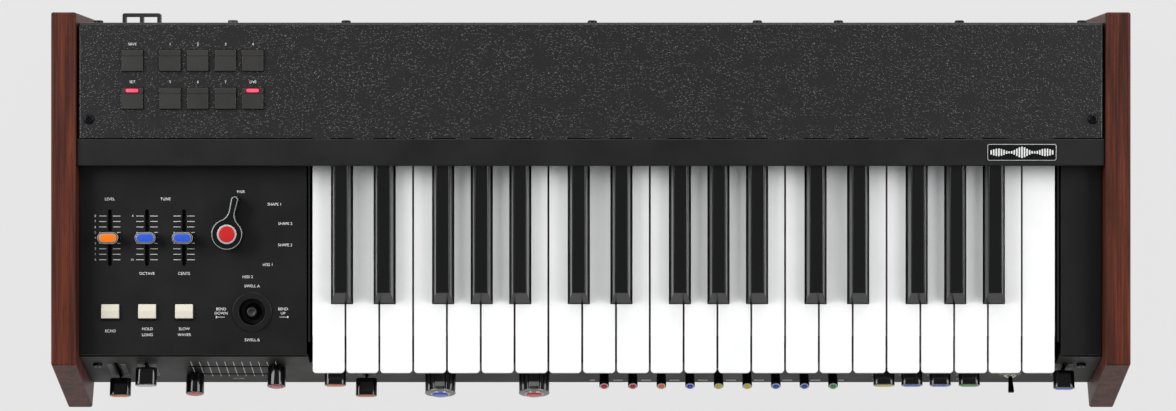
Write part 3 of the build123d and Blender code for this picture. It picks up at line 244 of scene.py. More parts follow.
def walnut():
    """Oiled veneer: reddish brown, satin, with open pores."""
    material, tree, shader = start_material("Walnut veneer, oiled")
    bands = add(tree, "ValToRGB", {"Fac": stripes(tree, GRAIN_BAND, 3.0, 0.6)})
    ramp = bands.color_ramp
    ramp.elements[0].position, ramp.elements[0].color = 0.30, linear("#3c190f")
    ramp.elements[1].position, ramp.elements[1].color = 0.66, linear("#6e321e")
    middle = ramp.elements.new(0.48)
    middle.color = linear("#592818")
    streaks = add(tree, "MapRange", {"Value": stripes(tree, GRAIN_STREAK, 4.0), "From Min": 0.42,
                                     "From Max": 0.62, "To Min": 0.45, "To Max": 1.0})
    pores = add(tree, "MapRange", {"Value": stripes(tree, PORE, 1.0), "From Min": 0.30,
                                   "From Max": 0.40, "To Min": 0.35, "To Max": 1.0})
    shade = add(tree, "Math", {0: streaks.outputs["Result"], 1: pores.outputs["Result"]},
                operation="MULTIPLY")
    tint = add(tree, "MixRGB", {"Fac": 0.8, "Color1": bands.outputs["Color"],
                                "Color2": shade.outputs["Value"]}, blend_type="MULTIPLY")
    bump = add(tree, "Bump", {"Height": shade.outputs["Value"], "Distance": PORE_DEPTH * MM, "Strength": 0.6})
    feed(tree, shader, Base_Color=tint.outputs["Color"], Roughness=0.5, Normal=bump.outputs["Normal"],
         IOR=1.3)
    return material


# %% [markdown]
# ### Hammer-finish enamel
#
# The rear cover is sprayed with enamel that draws back into a skin of shallow, uneven beads, each
# about a millimetre across. Smooth cells give the beads, a slower noise thins them out in places,
# and the bump turns them into the small glints that show against the black.

# %% Hammered enamel
BEAD = 1.5                # spacing of the beads
BEAD_DEPTH = 0.42
BEAD_WANDER = 240.0       # scale of the noise that makes the beads uneven
BEAD_SHIFT = 0.0022       # how far it moves them, in metres
THIN_PATCHES = 70.0       # scale of the noise that thins the beads out


def hammered():
    """Sprayed hammer enamel over steel: black, beaded, half gloss."""
    material, tree, shader = start_material("Hammer enamel, black")
    where = object_place(tree)
    wander = add(tree, "TexNoise", {"Vector": where, "Scale": BEAD_WANDER, "Detail": 2.0})
    shifted = add(tree, "MixRGB", {"Fac": BEAD_SHIFT, "Color1": where,
                                   "Color2": wander.outputs["Color"]}, blend_type="ADD")
    cells = add(tree, "TexVoronoi", {"Vector": shifted.outputs["Color"], "Scale": 1 / (BEAD * MM)},
                feature="SMOOTH_F1")
    beads = add(tree, "MapRange", {"Value": cells.outputs["Distance"], "From Min": 0.05, "From Max": 0.34,
                                   "To Min": 1.0, "To Max": 0.0})
    patches = add(tree, "TexNoise", {"Vector": where, "Scale": THIN_PATCHES, "Detail": 2.0})
    thin = add(tree, "MapRange", {"Value": patches.outputs["Fac"], "From Min": 0.25, "From Max": 0.70})
    height = add(tree, "Math", {0: beads.outputs["Result"], 1: thin.outputs["Result"]},
                 operation="MULTIPLY")
    bump = add(tree, "Bump", {"Height": height.outputs["Value"], "Distance": BEAD_DEPTH * MM,
                              "Strength": 1.0})
    feed(tree, shader, Base_Color=linear("#1c1b1b"), Roughness=0.34, Normal=bump.outputs["Normal"], IOR=1.5)
    return material


# %% [markdown]
# ### The rest of the finishes
#
# Each entry is one real finish. Gloss ABS is the moulded caps and the black keys; white keys are
# the same resin, polished; the panels are satin baked enamel with a fine orange peel. Bright
# plating and nickel are metals and keep the shader's own index of refraction.

# %% Finishes by name
finishes = {
    "walnut": walnut(),
    "hammered": hammered(),
    "strip": plain_finish("Textured enamel, black", "#0e0e0f", 0.45, 0.7, 0.06, ior=1.42),
    "panel": plain_finish("Satin enamel, black", "#101011", 0.40, 0.5, 0.012, ior=1.4),
    "front": plain_finish("Satin enamel, charcoal", "#1b1916", 0.55, 0.5, 0.015, ior=1.3),
    "base": plain_finish("Powder coat, black", "#1c1c1c", 0.55, 0.45, 0.05),
    # plated steel drawn near black: partly the real zinc plating, partly painted shade for the dark gaps between
    # the keys
    "zinc": plain_finish("Zinc-plated steel, darkened as painted shade", "#4a4a4c", 0.42, 0.3, 0.01, metallic=1.0),
    "laminate": plain_finish("Phenolic board and switch bodies, dark", "#14110e", 0.55, 0.4, 0.01),
    "nylon": plain_finish("Nylon, black", "#161616", 0.45, 0.25, 0.02),
    "black_oxide": plain_finish("Black oxide steel", "#26262a", 0.34, 0.2, 0.008, metallic=1.0),
    "rubber": plain_finish("Rubber, black", "#1a1a1a", 0.75, 0.5, 0.04),
    "white_key": plain_finish("ABS, white, polished", "#fffffe", 0.22, 0.6, 0.004, cloud=0.04),
    "black_key": plain_finish("ABS, black, polished", "#0c0c0c", 0.16, 0.6, 0.004, cloud=0.04),
    "cap": plain_finish("Gloss ABS, black", "#080808", 0.10, 0.6, 0.003, cloud=0.03),
    "ivory": plain_finish("ABS, ivory", "#dcd6c6", 0.28, 0.5, 0.006),
    "button": plain_finish("ABS, black, grained", "#292826", 0.45, 0.3, 0.02),
    "rim": plain_finish("Bright foil, hot stamped", "#c8c8ca", 0.30, 0.4, 0.002, metallic=0.35, cloud=0.04),
    "spun": plain_finish("Aluminium, blasted", "#8a8a89", 0.45, 0.3, 0.02, metallic=0.6),
    "nickel": plain_finish("Nickel plating, dull", "#d2cec2", 0.35, 0.3, 0.006, metallic=0.6),
    "print": plain_finish("Screen ink, white", "#e4e4e2", 0.55, 0.2, 0.003),
    "felt": plain_finish("Wool felt, red", "#5c1c1c", 0.95, 0.25, 0.10, cloud=0.03),
    "orange": plain_finish("Acrylic, orange", "#f07a18", 0.25, 0.4, 0.004),
    "blue": plain_finish("Acrylic, blue", "#2a57c8", 0.25, 0.4, 0.004),
    "red": plain_finish("Acrylic, red", "#c4201e", 0.25, 0.4, 0.004),
    "yellow": plain_finish("Acrylic, yellow", "#d8c02c", 0.25, 0.4, 0.004),
    "green": plain_finish("Acrylic, green", "#3f9a3c", 0.25, 0.4, 0.004),
    "pale": plain_finish("Acrylic, pale grey", "#cfd2d4", 0.25, 0.4, 0.004),
}
print("plain finishes:", len(finishes))

# %% Lit windows
GLOW = 300.0              # scale of the faint unevenness in a lamp's glow


def lamp_window():
    """A lit acrylic window: pinkish red, with its own nearly even glow."""
    material, tree, shader = start_material("Acrylic, lit red")
    where = object_place(tree)
    glow = add(tree, "TexNoise", {"Vector": where, "Scale": GLOW, "Detail": 1.0})
    warm = add(tree, "MixRGB", {"Fac": glow.outputs["Fac"], "Color1": linear("#ff3a5c"),
                                "Color2": linear("#ff6d82")})
    feed(tree, shader, Base_Color=linear("#c02036"), Roughness=0.3,
         Emission_Color=warm.outputs["Color"], Emission_Strength=1.1)
    return material


finishes["lamp"] = lamp_window()
# painted glow: a dark red patch that stands in for the light a lit lamp spreads round its window
finishes["painted_glow"] = plain_finish("Painted glow, dark red", "#5a1220", 0.3, 0.4, 0.004)
print("finishes:", len(finishes))

# %% [markdown]
# ## CAD parts that stay
#
# A folded panel or a moulded key already has its true shape, so the CAD node stays and gets a
# finish. What it lacks is the small radius that every real edge has, and that radius is what
# catches the light. Modifiers add it without touching the mesh: weld the loose triangles, dissolve
# the flat ones into whole faces, bevel what is left, and weight the normals by face area so that
# the large faces stay flat to the eye.

# %% Finish a CAD node and soften its edges
SHARP = math.radians(32)  # edges that turn by more than this are rounded or kept sharp
FLAT = math.radians(1.0)  # triangles that turn by less than this join into one face
WELD = 0.002

DRESSED = (               # CAD node, finish, edge radius
    ("left_cheek", "walnut", 0.5), ("right_cheek", "walnut", 0.5), ("rear_cover", "hammered", 0.4),
    ("nameboard", "strip", 0.35), ("control_panel", "panel", 0.25), ("right_panel", "panel", 0.25),
    ("front_panel", "front", 0.25), ("base_pan", "base", 0.3), ("key_frame", "zinc", 0.1),
    ("circuit_boards", "laminate", 0.1), ("spring_reverb", "zinc", 0.1), ("rear_sockets", "nylon", 0.15),
    ("screws", "black_oxide", 0.1), ("rubber_feet", "rubber", 0.4), ("memory_buttons", "button", 0.2),
    ("joystick_ring", "nylon", 0.2), ("joystick_stick", "nylon", 0.2), ("bat_toggle", "black_oxide", 0.1),
    ("power_button", "button", 0.15),
)


def dress(name, finish, radius, segments=2):
    """Gives a CAD node its finish and rounds its edges by a radius in millimetres."""
    part = nodes[name]
    part.data.materials.clear()
    part.data.materials.append(finishes[finish])
    for face in part.data.polygons:
        face.use_smooth = True
    weld = part.modifiers.new("weld", "WELD")
    weld.merge_threshold = WELD * MM
    flat = part.modifiers.new("dissolve", "DECIMATE")
    flat.decimate_type = "DISSOLVE"
    flat.angle_limit = FLAT
    bevel = part.modifiers.new("edge_radius", "BEVEL")
    bevel.width = radius * MM
    bevel.segments = segments
    bevel.limit_method = "ANGLE"
    bevel.angle_limit = SHARP
    bevel.use_clamp_overlap = True
    weighted = part.modifiers.new("flat_faces", "WEIGHTED_NORMAL")
    weighted.mode = "FACE_AREA"
    weighted.weight = 100


for name, finish, radius in DRESSED:
    dress(name, finish, radius)
for name in nodes:
    if name.startswith("keys_"):
        dress(name, "black_key" if "sharp" in name else "white_key", 0.45, 3)
    elif name.startswith("rocker_"):
        dress(name, "ivory", 0.3, 3)
print("CAD nodes dressed:", sum(1 for part in nodes.values() if part.modifiers))

# %% [markdown]
# ## Places on the frame
#
# The front panel leans back, so its controls are modelled upright, as if on a table, and then
# turned on to it. Two joint axes in the model say which way its surface runs and which way it
# faces, and the reach of a CAD node along an axis says where the piece sits.

# %% Directions and reach
RIGHT = Vector((1, 0, 0))
BACK = Vector((0, 1, 0))
UP_FRONT = Vector(joints["level_slide"]["axis"])
OUT_FRONT = Vector(joints["tone_turn"]["axis"])
FRONT_LEVEL = OUT_FRONT.dot(Vector(joints["tone_turn"]["pos_m"]))


def reach(name, direction):
    """Lowest and highest place of a CAD node along a direction."""
    along = [direction.dot(vertex.co) for vertex in nodes[name].data.vertices]
    return min(along), max(along)


def seat(right, up, out, origin):
    """The turn and place that take a piece modelled in millimetres to its seat."""
    turn = Matrix((right, up, out)).transposed().to_4x4()
    return Matrix.Translation(origin) @ turn @ Matrix.Scale(MM, 4)


def front_seat(x, up):
    """A seat on the front panel's face, from X and the height along the slope, in metres."""
    return seat(RIGHT, UP_FRONT, OUT_FRONT, RIGHT * x + UP_FRONT * up + OUT_FRONT * FRONT_LEVEL)


def flat_seat(x, y, z):
    """A seat on a level face, in metres."""
    return Matrix.Translation((x, y, z)) @ Matrix.Scale(MM, 4)


def middle(name, direction):
    """Middle of a CAD node along a direction."""
    low, high = reach(name, direction)
    return (low + high) / 2


print("front panel leans back by", round(math.degrees(UP_FRONT.angle(Vector((0, 0, 1)))), 1), "degrees")

# %% [markdown]
# ## Modelling with bmesh
#
# Almost every control is an outline pulled up into a solid, with its upper edges eased. Three
# helpers draw an outline, and two more pull it up and ease it with bmesh operators. One turns the
# result into a piece that rides on its CAD body, and the last does all of this in one call.

# %% bmesh helpers
def disc(bm, radius, segments=48):
    """A round face in the ground plane."""
    made = bmesh.ops.create_circle(bm, cap_ends=True, segments=segments, radius=radius,
                                   matrix=Matrix.Rotation(math.pi / segments, 4, "Z"))
    return made["verts"][0].link_faces[0]


def capsule(bm, width, depth):
    """A round-ended face: a disc whose two halves are pulled apart."""
    face = disc(bm, depth / 2)
    for vertex in face.verts:
        vertex.co.x += math.copysign((width - depth) / 2, vertex.co.x)
    return face


def box_face(bm, width, depth):
    """A rectangular face in the ground plane."""
    made = bmesh.ops.create_grid(bm, x_segments=1, y_segments=1, size=0.5)
    bmesh.ops.scale(bm, vec=(width, depth, 1), verts=made["verts"])
    return made["verts"][0].link_faces[0]


def pull(bm, face, low, high):
    """Lifts a face to a height and pulls it up into a solid; returns the top face."""
    bmesh.ops.translate(bm, vec=(0, 0, low), verts=face.verts)
    made = bmesh.ops.extrude_face_region(bm, geom=[face], use_keep_orig=True)["geom"]
    corners = [item for item in made if isinstance(item, bmesh.types.BMVert)]
    bmesh.ops.translate(bm, vec=(0, 0, high - low), verts=corners)
    return next(item for item in made if isinstance(item, bmesh.types.BMFace))


def ease(bm, face, radius):
    """Rounds the edges round a face and returns the face that is left of it."""
    height = face.calc_center_median().z
    bmesh.ops.bevel(bm, geom=list(face.edges), offset=radius, offset_type="OFFSET", segments=3,
                    profile=0.5, affect="EDGES", material=-1)
    level = [found for found in bm.faces if abs(found.calc_center_median().z - height) < 1e-4]
    return max(level, key=lambda found: found.calc_area())


def finish_piece(name, bm, finish, body, place):
    """Turns a bmesh, in millimetres, into a piece of the instrument that rides on a body."""
    bmesh.ops.transform(bm, matrix=place, verts=bm.verts)
    bmesh.ops.recalc_face_normals(bm, faces=bm.faces)
    mesh = bpy.data.meshes.new(name)
    bm.to_mesh(mesh)
    bm.free()
    mesh.materials.append(finishes[finish])
    for face in mesh.polygons:
        face.use_smooth = True
    mesh.set_sharp_from_angle(angle=SHARP)
    piece = bpy.data.objects.new(name, mesh)
    bpy.context.scene.collection.objects.link(piece)
    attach(piece, body)
    return piece


def raised(name, outline, low, high, edge, finish, slot, body, place):
    """A piece pulled up from an outline between two heights, with its upper edge eased."""
    bm = bmesh.new()
    ease(bm, pull(bm, outline(bm), low, high), edge)
    return finish_piece(name, bm, finish, body, place)


# %% [markdown]
# ## Slider caps
#
# A cap is a gloss black capsule on a flat stem that disappears into the slot. Its face is a stack
# of thin layers, each a little smaller and higher than the last: a bright line near the edge, which
# is a painted highlight standing in for the light that the cap's eased edge catches, a black band,
# a second bright line and a coloured insert with a slight crown.

# %% Slider caps
INSERT_SLOTS = {colour: f"insert_{colour}" for colour in ("orange", "blue", "red", "yellow", "green")}
INSERT_SLOTS["pale"] = "insert_white"
STEM = (1.4, 4.0)         # width and depth of a stem
STEM_FOOT = -4.5          # how far a stem goes down through the panel
PANEL_CAP = (2.0, 12.0)   # underside and face of a cap, from the panel's face
FRONT_CAP = (2.9, 15.8)
FILTER_CAP = (1.0, 15.2)
PANEL_CAPSULE = (15.2, 8.8)
FRONT_CAPSULE = (15.2, 8.0)
FILTER_RADIUS = 6.5
FACE_LAYERS = (           # name, inset, finish, slot
    # the outer line is a painted highlight: bright foil where the cap's eased edge catches the light
    ("edge_highlight_line", 0.4, "rim", "silver_plating"), ("band", 0.68, "cap", "cap_black"),
    ("inner_line", 1.25, "rim", "silver_plating"),
)
INSERT_INSET = 1.55
LAYER_ROOT = 1.2          # the layers begin this far under the insert's face
FACE_DEPTH = 0.45         # the cap's own face lies this far under it
LAYER_RISE = 0.05


def slider_cap(name, colour, outline, heights, place, stem=STEM):
    """A capsule or round cap with its lines and insert. outline(inset) gives a face drawer."""
    low, high = heights
    bm = bmesh.new()
    ease(bm, pull(bm, outline(0.0)(bm), low, high - FACE_DEPTH), 0.4)
    pull(bm, box_face(bm, *stem), STEM_FOOT, low + 0.5)
    cap = finish_piece(f"{name}_cap", bm, "cap", name, place)
    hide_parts(name)
    root = high - LAYER_ROOT
    for step, (layer, inset, finish, slot) in enumerate(FACE_LAYERS, start=1):
        raised(f"{name}_{layer}", outline(inset), root, high - FACE_DEPTH + step * LAYER_RISE, 0.03, finish,
               slot, name, place)
    raised(f"{name}_insert", outline(INSERT_INSET), root, high, 0.22, colour, INSERT_SLOTS[colour], name,
           place)


def capsule_outline(width, depth):
    """For a capsule: takes how far it is inset and gives a drawer of its face."""
    return lambda inset: lambda bm: capsule(bm, width - 2 * inset, depth - 2 * inset)


def round_outline(radius):
    """For a disc: takes how far it is inset and gives a drawer of its face."""
    return lambda inset: lambda bm: disc(bm, radius - inset)


BEZEL_RISE = 1.2          # the joystick's bezel stands this far above the panel
panel_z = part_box("control_panel")[1].z - BEZEL_RISE * MM
for number, colour in enumerate(("orange", "blue", "blue"), start=1):
    name = f"panel_slider_{number}"
    place = flat_seat(middle(name, RIGHT), middle(name, BACK), panel_z)
    slider_cap(name, colour, capsule_outline(*PANEL_CAPSULE), PANEL_CAP, place)

FRONT_CAPS = {"balance": "orange", "level": "pale", "depth": "orange", "rate": "orange", "attack": "yellow",
              "decay": "blue", "hold": "blue", "release": "green", "echo": "blue"}
for function, colour in FRONT_CAPS.items():
    name = f"{function}_slider"
    slider_cap(name, colour, capsule_outline(*FRONT_CAPSULE), FRONT_CAP,
               front_seat(middle(name, RIGHT), middle(name, UP_FRONT)))
for level in ("upper", "lower"):
    name = f"{level}_filter_slider"
    slider_cap(name, "red", round_outline(FILTER_RADIUS), FILTER_CAP,
               front_seat(middle(name, RIGHT), middle(name, UP_FRONT)), stem=(STEM[1], STEM[0]))
print("slider caps:", 3 + len(FRONT_CAPS) + 2)

# %% [markdown]
# ## Selector knob
#
# A pointer knob: a disc that narrows through two concave arcs into a long finger. Half of its
# outline is drawn by spinning a corner about the disc's centre and then about the hollow's, and a
# second corner about the tip's; the other half is its mirror image. An inset makes the disc and the
# tip smaller while the centres stay, so the bright line keeps an even distance from the edge.

# %% Pointer outline
POINTER_DISC = 11.3       # radius of the disc
POINTER_WAIST = 2.6       # half width where the finger begins
POINTER_TIP = 2.9         # radius of the finger's tip
POINTER_REACH = 27.7      # from the disc's middle to the end of the tip
POINTER_HOLLOW = 8.0      # radius of the concave arcs
POINTER_FOOT, POINTER_TOP = 1.0, 15.0
POINTER_AIM = math.radians(-12.9)
POINTER_LAYERS = (        # name, inset, rise above the top, eased edge, finish, slot
    ("line", 0.7, 0.05, 0.05, "rim", "silver_plating"),
    ("face", 1.05, 0.12, 0.08, "cap", "cap_black"),
)
POINTER_DISCS = (         # name, radius, rise above the top, eased edge, finish, slot
    ("ring", 6.85, 0.3, 0.15, "rim", "silver_plating"),
    ("insert", 5.7, 0.6, 0.3, "red", "insert_red"),
)
LAYER_DEPTH = 1.0         # each layer begins this far under the top


def pointer_outline(bm, inset):
    """A pointer-shaped face whose edge is moved in by an inset."""
    disc_radius, tip_radius = POINTER_DISC - inset, POINTER_TIP - inset
    apart = POINTER_DISC + POINTER_HOLLOW
    lean = math.asin((POINTER_WAIST + POINTER_HOLLOW) / apart)
    corner = bm.verts.new((0, -disc_radius, 0))
    turns = (((0, 0, 0), math.pi - lean, 28),
             ((apart * math.sin(lean), apart * math.cos(lean), 0), lean - math.pi / 2, 8))
    for centre, angle, steps in turns:
        made = bmesh.ops.spin(bm, geom=[corner], cent=centre, axis=(0, 0, 1), angle=angle, steps=steps)
        corner = next(item for item in made["geom_last"] if isinstance(item, bmesh.types.BMVert))
    knuckle = bm.verts.new((tip_radius, POINTER_REACH - POINTER_TIP, 0))
    bm.edges.new((corner, knuckle))
    bmesh.ops.spin(bm, geom=[knuckle], cent=(0, POINTER_REACH - POINTER_TIP, 0), axis=(0, 0, 1),
                   angle=math.pi / 2, steps=8)
    half = bm.verts[:] + bm.edges[:]
    bmesh.ops.mirror(bm, geom=half, axis="X", merge_dist=1e-4)
    return bmesh.ops.contextual_create(bm, geom=bm.edges[:])["faces"][0]


place = flat_seat(*joints["selector_turn"]["pos_m"]) @ Matrix.Rotation(POINTER_AIM, 4, "Z")
knob = raised("selector_body", lambda bm: pointer_outline(bm, 0.0), POINTER_FOOT, POINTER_TOP, 0.7,
              "cap", "cap_black", "selector_knob", place)
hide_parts("selector_knob")
for layer, inset, rise, edge, finish, slot in POINTER_LAYERS:
    raised(f"selector_{layer}", lambda bm: pointer_outline(bm, inset), POINTER_TOP - LAYER_DEPTH,
           POINTER_TOP + rise, edge, finish, slot, "selector_knob", place)
for layer, radius, rise, edge, finish, slot in POINTER_DISCS:
    raised(f"selector_{layer}", lambda bm: disc(bm, radius, 64), POINTER_TOP - LAYER_DEPTH,
           POINTER_TOP + rise, edge, finish, slot, "selector_knob", place)
print("selector pieces:", 1 + len(POINTER_LAYERS) + len(POINTER_DISCS))

# %% [markdown]
# ## Fluted knobs
#
# The two knobs on the front have deep flutes, a grey metal face and a crowned insert in a bright
# ring. A square pointer runs out over the edge of the face and slopes down the skirt. The flutes
# are corners of a disc pushed in by a wave; a slight taper keeps the skirt from looking like a
# plain cylinder.

# %% Fluted knobs
KNOB_RADIUS = 11.0
KNOB_FOOT, KNOB_FACE = 1.5, 17.5
KNOB_TAPER = 0.965        # the top's radius as a share of the foot's
SKIRT_DROP = 0.9          # the black skirt ends this far below the face
SHAFT = (3.0, -6.5, 3.0)  # radius, foot and top of the shaft
FLUTES = 20
FLUTE_DEPTH = 0.8
POINTER_BAR = 6.8         # width of the pointer
POINTER_ROOT = 4.0        # where the pointer begins, inside the face
POINTER_UNDER = 2.0       # underside of the black under the pointer
SHOULDER = 10.6           # where the pointer begins to slope down
NOSE = (14.6, 12.4)       # how far out and how high its nose is
PLATE = 1.1               # thickness of the metal on the pointer
KNOB_RING, KNOB_INSERT = 6.7, 5.75


def fluted(bm):
    """A disc with flutes all round its edge."""
    face = disc(bm, KNOB_RADIUS, FLUTES * 4)
    for vertex in face.verts:
        turn = math.atan2(vertex.co.y, vertex.co.x) * FLUTES
        vertex.co *= 1 - FLUTE_DEPTH / KNOB_RADIUS * max(0.0, -math.cos(turn))
    return face


def side_profile(bm, points, width):
    """A solid from its side view, given as distance out and height, centred on its width."""
    corners = [bm.verts.new((-width / 2, out, height)) for out, height in points]
    made = bmesh.ops.contextual_create(bm, geom=corners)["faces"]
    moved = bmesh.ops.extrude_face_region(bm, geom=made, use_keep_orig=True)["geom"]
    far = [item for item in moved if isinstance(item, bmesh.types.BMVert)]
    bmesh.ops.translate(bm, vec=(width, 0, 0), verts=far)
    bmesh.ops.bevel(bm, geom=bm.edges[:], offset=0.15, offset_type="OFFSET", segments=2, profile=0.5,
                    affect="EDGES", material=-1)


for name, colour in (("tone_knob", "blue"), ("sweep_knob", "red")):
    joint = joints[name.replace("_knob", "_turn")]
    place = seat(RIGHT, UP_FRONT, OUT_FRONT, Vector(joint["pos_m"]))
    bm = bmesh.new()
    top = pull(bm, fluted(bm), KNOB_FOOT, KNOB_FACE - SKIRT_DROP)
    bmesh.ops.scale(bm, vec=(KNOB_TAPER, KNOB_TAPER, 1), verts=top.verts)
    ease(bm, top, 0.3)
    skirt = finish_piece(f"{name}_skirt", bm, "cap", name, place)
    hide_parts(name)
    raised(f"{name}_shaft", lambda bm: disc(bm, SHAFT[0]), *SHAFT[1:], 0.2, "rim", "nickel", name, place)
    under = KNOB_FACE - PLATE
    bm = bmesh.new()
    side_profile(bm, ((POINTER_ROOT, POINTER_UNDER), (NOSE[0] - 0.6, POINTER_UNDER),
                      (NOSE[0] - 0.6, NOSE[1] - 0.4), (SHOULDER, under + 0.2), (POINTER_ROOT, under + 0.2)),
                 POINTER_BAR - 0.3)
    finish_piece(f"{name}_pointer_skirt", bm, "cap", name, place)
    raised(f"{name}_face", lambda bm: disc(bm, KNOB_RADIUS - 0.1, 80), KNOB_FACE - SKIRT_DROP,
           KNOB_FACE - 0.2, 0.25, "spun", "silver_plating", name, place)
    bm = bmesh.new()
    side_profile(bm, ((POINTER_ROOT, under), (SHOULDER - 0.4, under), (NOSE[0] - PLATE, NOSE[1] - 0.5), NOSE,
                      (SHOULDER, KNOB_FACE), (POINTER_ROOT, KNOB_FACE)), POINTER_BAR)
    finish_piece(f"{name}_pointer", bm, "spun", name, place)
    raised(f"{name}_ring", lambda bm: disc(bm, KNOB_RING, 64), KNOB_FACE - 0.5, KNOB_FACE + 0.6, 0.2,
           "rim", "silver_plating", name, place)
    raised(f"{name}_insert", lambda bm: disc(bm, KNOB_INSERT, 64), KNOB_FACE - 0.5, KNOB_FACE + 1.5, 0.7,
           colour, INSERT_SLOTS[colour], name, place)
print("fluted knobs:", 2)

# %% [markdown]
# ## Toggles
#
# Each toggle is a steel neck that carries a black barrel; a bright ring closes the barrel's end
# round a faceted, coloured tip. They are modelled upright on their hinge and leaned back to their
# resting angle. The last switch is different: a slim metal bat in a threaded bushing with a nut.

# %% Toggles
TOGGLE_LEAN = math.radians(-25)
BARREL = (8.0, 20.0)      # where the barrel begins and ends, from the hinge
BARREL_RADIUS = 3.3
BARREL_FLARE = 1.06       # the end's radius as a share of the beginning's
NECK = 3.0                # width of the square neck
NECK_FOOT = -2.5
TIP_RADIUS = 2.6
TIP_FACET = 0.9
TOGGLE_TIPS = ("red", "red", "orange", "blue", "yellow", "yellow", "blue", "blue", "green")


def hinge_seat(joint_name, lean):
    """A seat on a front-panel hinge, leaned about the hinge's axis."""
    hinge = Vector(joints[joint_name]["pos_m"])
    return seat(RIGHT, UP_FRONT, OUT_FRONT, hinge) @ Matrix.Rotation(lean, 4, "X")


for number, colour in enumerate(TOGGLE_TIPS, start=1):
    name = f"toggle_{number}"
    place = hinge_seat(f"{name}_flip", TOGGLE_LEAN)
    bm = bmesh.new()
    top = pull(bm, disc(bm, BARREL_RADIUS, 40), *BARREL)
    bmesh.ops.scale(bm, vec=(BARREL_FLARE, BARREL_FLARE, 1), verts=top.verts)
    ease(bm, top, 0.35)
    barrel = finish_piece(f"{name}_barrel", bm, "cap", name, place)
    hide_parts(name)
    raised(f"{name}_neck", lambda bm: box_face(bm, NECK, NECK), NECK_FOOT, BARREL[0] + 1, 0.3,
           "nickel", "nickel", name, place)
    raised(f"{name}_ring", lambda bm: disc(bm, BARREL_RADIUS - 0.25, 40), BARREL[1] - 1, BARREL[1] + 0.35,
           0.2, "rim", "silver_plating", name, place)
    bm = bmesh.new()
    top = pull(bm, disc(bm, TIP_RADIUS, 6), BARREL[1] - 1, BARREL[1] + 1.2)
    bmesh.ops.bevel(bm, geom=list(top.edges), offset=TIP_FACET, offset_type="OFFSET", segments=1,
                    profile=0.5, affect="EDGES", material=-1)
    finish_piece(f"{name}_tip", bm, colour, name, place)
print("toggles:", len(TOGGLE_TIPS))

# %% Bushing and nut of the bat switch
BAT_BUSHING = (3.1, 2.15, 0.0, 2.6)     # outer and inner radius, underside and top
BAT_NUT = (4.8, 3.0, 0.0, 1.8)


def tube(name, outer, inner, low, high, place, segments=48):
    """A nickel bushing, or a nut with six sides: a flat ring pulled up, its upper edges eased."""
    bm = bmesh.new()
    face = disc(bm, outer, segments)
    bmesh.ops.inset_region(bm, faces=[face], thickness=(outer - inner) * math.cos(math.pi / segments),
                           use_boundary=True, use_even_offset=True)
    bmesh.ops.delete(bm, geom=[face], context="FACES_ONLY")
    bmesh.ops.translate(bm, vec=(0, 0, low), verts=bm.verts)
    made = bmesh.ops.extrude_face_region(bm, geom=list(bm.faces), use_keep_orig=True)["geom"]
    corners = [item for item in made if isinstance(item, bmesh.types.BMVert)]
    bmesh.ops.translate(bm, vec=(0, 0, high - low), verts=corners)
    rims = {edge for vertex in corners for edge in vertex.link_edges
            if len(edge.link_faces) == 2 and abs(edge.calc_face_angle(0.0)) > 1.0 and
            all(abs(end.co.z - high) < 1e-5 for end in edge.verts)}
    bmesh.ops.bevel(bm, geom=list(rims), offset=0.2, offset_type="OFFSET", segments=2, profile=0.5,
                    affect="EDGES", material=-1)
    finish_piece(name, bm, "nickel", "case", place)


place = hinge_seat("bat_toggle_flip", 0.0) @ Matrix.Translation((0, 0, 1.0))
tube("bat_bushing", *BAT_BUSHING, place)
tube("bat_nut", *BAT_NUT, place, segments=6)
print("bat bushing and nut: 2")

# %% [markdown]
# ## Screen printing
#
# White ink sits on the enamel as a layer a few hundredths of a millimetre thick. Scales are rows
# of short bars beside each slot. Words and numbers are set in a plain typeface at their cap height
# and turned into mesh. All the ink on one face is one piece.

# %% Ink helpers
INK = 0.04                # thickness of the ink, drawn a little thick so that it stays visible
CAP_SHARE = 0.72          # cap height as a share of the type's size
LETTER = 2.0              # cap height of the labels
NUMERAL = 1.6             # cap height of the numbers on a scale
RUNG = 0.36               # thickness of a bar of a scale


def ink_bar(bm, x, y, width, height):
    """A printed bar centred on a place."""
    face = box_face(bm, width, height)
    bmesh.ops.translate(bm, vec=(x, y, 0), verts=face.verts)
    pull(bm, face, 0.0, INK)


def ink_turned(bm, face, x, y, turn, away=0.0):
    """Prints a face round a place: moved away from it, then turned about it."""
    spoke = Matrix.Rotation(turn, 4, "Z") @ Matrix.Translation((0, away, 0))
    bmesh.ops.transform(bm, matrix=Matrix.Translation((x, y, 0)) @ spoke, verts=face.verts)
    pull(bm, face, 0.0, INK)


def ink_text(bm, words, x, y, height=LETTER):
    """Printed words centred on a place, at a cap height."""
    curve = bpy.data.curves.new("lettering", "FONT")
    curve.body = words
    curve.size = height / CAP_SHARE
    curve.align_x, curve.align_y = "CENTER", "CENTER"
    curve.extrude = INK / 2
    setter = bpy.data.objects.new("lettering", curve)
    mesh = bpy.data.meshes.new_from_object(setter)
    before = len(bm.verts)
    bm.from_mesh(mesh)
    bm.verts.ensure_lookup_table()
    bmesh.ops.translate(bm, vec=(x, y, INK / 2), verts=bm.verts[before:])
    bpy.data.objects.remove(setter)
    bpy.data.curves.remove(curve)
    bpy.data.meshes.remove(mesh)


def ink_scale(bm, x, y, travel, marks, inner, outer):
    """A ladder of bars on both sides of an upright slot, from an inner to an outer distance."""
    for mark in range(marks):
        level = y + travel * (mark / (marks - 1) - 0.5)
        for side in (-1, 1):
            ink_bar(bm, x + side * (inner + outer) / 2, level, outer - inner, RUNG)


# %% Ink beside the three sliders
MARKS = 9
LADDER = 30.8             # length of a ladder of bars
RUNGS = (2.3, 7.5)        # where its bars begin and end, from the slot's middle
WORD_ABOVE, WORD_BELOW = 27.3, 25.2

